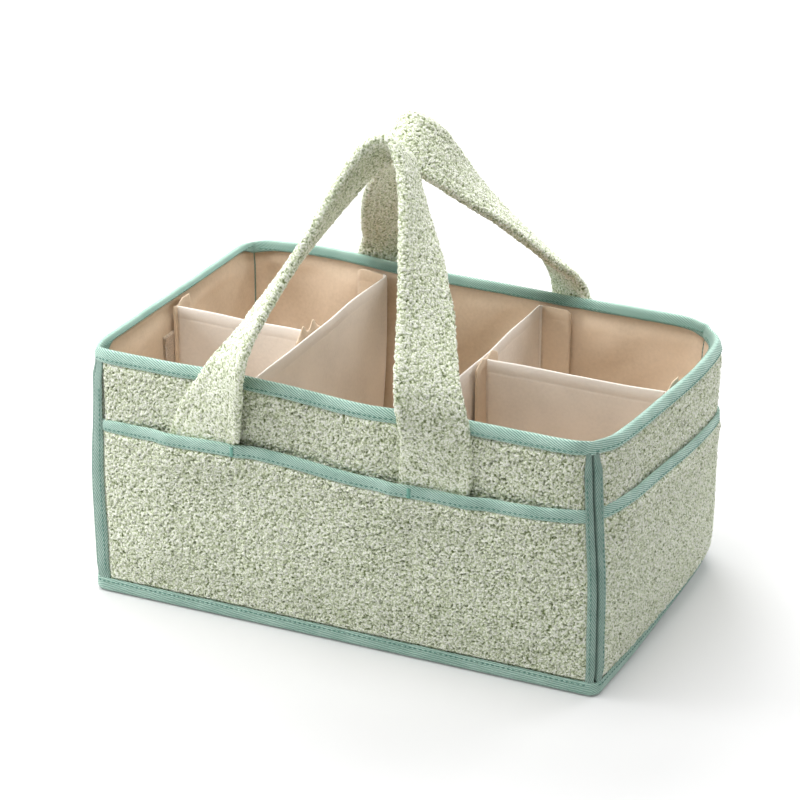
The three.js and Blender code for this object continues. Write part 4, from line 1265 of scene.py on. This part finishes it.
def make_camera():
    level = math.cos(CAMERA_RISE)
    back = Vector((math.sin(CAMERA_TURN) * level, -math.cos(CAMERA_TURN) * level, math.sin(CAMERA_RISE)))
    view = bpy.data.cameras.new("photo_camera")
    view.sensor_width, view.lens = CAMERA_SENSOR, CAMERA_LENS
    view.clip_start, view.clip_end = 0.05, 60.0
    camera = bpy.data.objects.new("photo_camera", view)
    camera.location = Vector(CAMERA_TARGET) + back * CAMERA_AWAY
    camera.rotation_euler = (-back).to_track_quat("-Z", "Y").to_euler()
    bpy.context.scene.collection.objects.link(camera)
    bpy.context.scene.camera = camera


# Operators


def on_each_wall(make, seed):
    for number, wall in enumerate(WALLS):
        make(wall, seed + 20 * number)


class CADDY_OT_stage(bpy.types.Operator):
    """Floor, world, lamps and the camera"""

    bl_idname = "caddy.stage"
    bl_label = "Stage"

    def execute(self, context):
        scene = context.scene
        scene.view_settings.view_transform = "Standard"
        make_floor(scene.caddy_stage)
        make_world(scene.caddy_stage)
        make_lamps(scene.caddy_stage)
        make_camera()
        return {"FINISHED"}


class CADDY_OT_wall_plush(bpy.types.Operator):
    """The curly outer face of each wall"""

    bl_idname = "caddy.wall_plush"
    bl_label = "Wall plush"

    def execute(self, context):
        on_each_wall(make_panel, 200)
        return {"FINISHED"}


class CADDY_OT_pockets(bpy.types.Operator):
    """The curly pocket on each wall"""

    bl_idname = "caddy.pockets"
    bl_label = "Pockets"

    def execute(self, context):
        on_each_wall(make_pocket, 300)
        return {"FINISHED"}


class CADDY_OT_pocket_tapes(bpy.types.Operator):
    """The tape over each pocket's top edge, its stitches and its bar tacks"""

    bl_idname = "caddy.pocket_tapes"
    bl_label = "Pocket tapes"

    def execute(self, context):
        on_each_wall(make_pocket_tape, 400)
        return {"FINISHED"}


class CADDY_OT_edge_tapes(bpy.types.Operator):
    """The two bound edges at each corner"""

    bl_idname = "caddy.edge_tapes"
    bl_label = "Corner tapes"

    def execute(self, context):
        on_each_wall(make_edge_tapes, 500)
        return {"FINISHED"}


class CADDY_OT_loop_tapes(bpy.types.Operator):
    """The tapes that run right round the rim and the base"""

    bl_idname = "caddy.loop_tapes"
    bl_label = "Rim and base tapes"

    def execute(self, context):
        make_rim_tape()
        make_base_tape()
        return {"FINISHED"}


class CADDY_OT_linings(bpy.types.Operator):
    """The lining of each wall"""

    bl_idname = "caddy.linings"
    bl_label = "Wall linings"

    def execute(self, context):
        on_each_wall(make_lining, 600)
        return {"FINISHED"}


class CADDY_OT_base(bpy.types.Operator):
    """The floor's lining and the plush under it"""

    bl_idname = "caddy.base"
    bl_label = "Base"

    def execute(self, context):
        make_base()
        return {"FINISHED"}


class CADDY_OT_straps(bpy.types.Operator):
    """The two carrying straps, each with its sewn ends"""

    bl_idname = "caddy.straps"
    bl_label = "Carrying straps"

    def execute(self, context):
        make_strap("front", 700)
        make_strap("back", 740)
        return {"FINISHED"}


class CADDY_OT_dividers(bpy.types.Operator):
    """The two cross dividers and the two lengthwise ones"""

    bl_idname = "caddy.dividers"
    bl_label = "Dividers"

    def execute(self, context):
        for place in ("left", "right"):
            make_cross_divider(place)
            make_long_divider(place)
        return {"FINISHED"}


class CADDY_OT_grip_strips(bpy.types.Operator):
    """The hook and loop strips that hold the dividers"""

    bl_idname = "caddy.grip_strips"
    bl_label = "Hook and loop strips"

    def execute(self, context):
        for place in ("left", "right"):
            cross, divider = f"{place}_cross_divider", f"{place}_divider"
            make_grip_strip(f"{cross}_front_hooks", "caddy", "hooks")
            make_grip_strip(f"{cross}_back_hooks", cross, "hooks")
            make_grip_strip(f"{divider}_wall_hooks", divider, "hooks")
            make_grip_strip(f"{divider}_cross_hooks", divider, "hooks")
            make_grip_strip(f"front_wall_{place}_loops", "caddy", "loops")
            make_grip_strip(f"back_wall_{place}_loops", "caddy", "loops")
            make_grip_strip(f"{place}_wall_loops", "caddy", "loops")
        return {"FINISHED"}


OPERATORS = (
    CADDY_OT_stage, CADDY_OT_wall_plush, CADDY_OT_pockets, CADDY_OT_pocket_tapes, CADDY_OT_edge_tapes,
    CADDY_OT_loop_tapes, CADDY_OT_linings, CADDY_OT_base, CADDY_OT_straps, CADDY_OT_dividers,
    CADDY_OT_grip_strips,
)


class CADDY_PT_sidebar(bpy.types.Panel):
    bl_label = "Plush carry caddy"
    bl_idname = "CADDY_PT_sidebar"
    bl_space_type = "VIEW_3D"
    bl_region_type = "UI"
    bl_category = "Caddy"

    def draw(self, context):
        scene = context.scene
        for group in (scene.caddy_sizes, scene.caddy_colours, scene.caddy_stage):
            column = self.layout.column(align=True)
            for key in group.__annotations__:
                column.prop(group, key)
        for operator in OPERATORS:
            self.layout.operator(operator.bl_idname)


GROUPS = {"caddy_sizes": CaddySizes, "caddy_colours": CaddyColours, "caddy_stage": CaddyStage}
CLASSES = (*GROUPS.values(), *OPERATORS, CADDY_PT_sidebar)


def register():
    for cls in CLASSES:
        bpy.utils.register_class(cls)
    for key, cls in GROUPS.items():
        setattr(bpy.types.Scene, key, bpy.props.PointerProperty(type=cls))


def unregister():
    for key in GROUPS:
        delattr(bpy.types.Scene, key)
    for cls in reversed(CLASSES):
        bpy.utils.unregister_class(cls)


def main():
    register()
    for operator in OPERATORS:
        getattr(bpy.ops.caddy, operator.bl_idname.split(".")[1])()


if __name__ == "__main__":
    main()
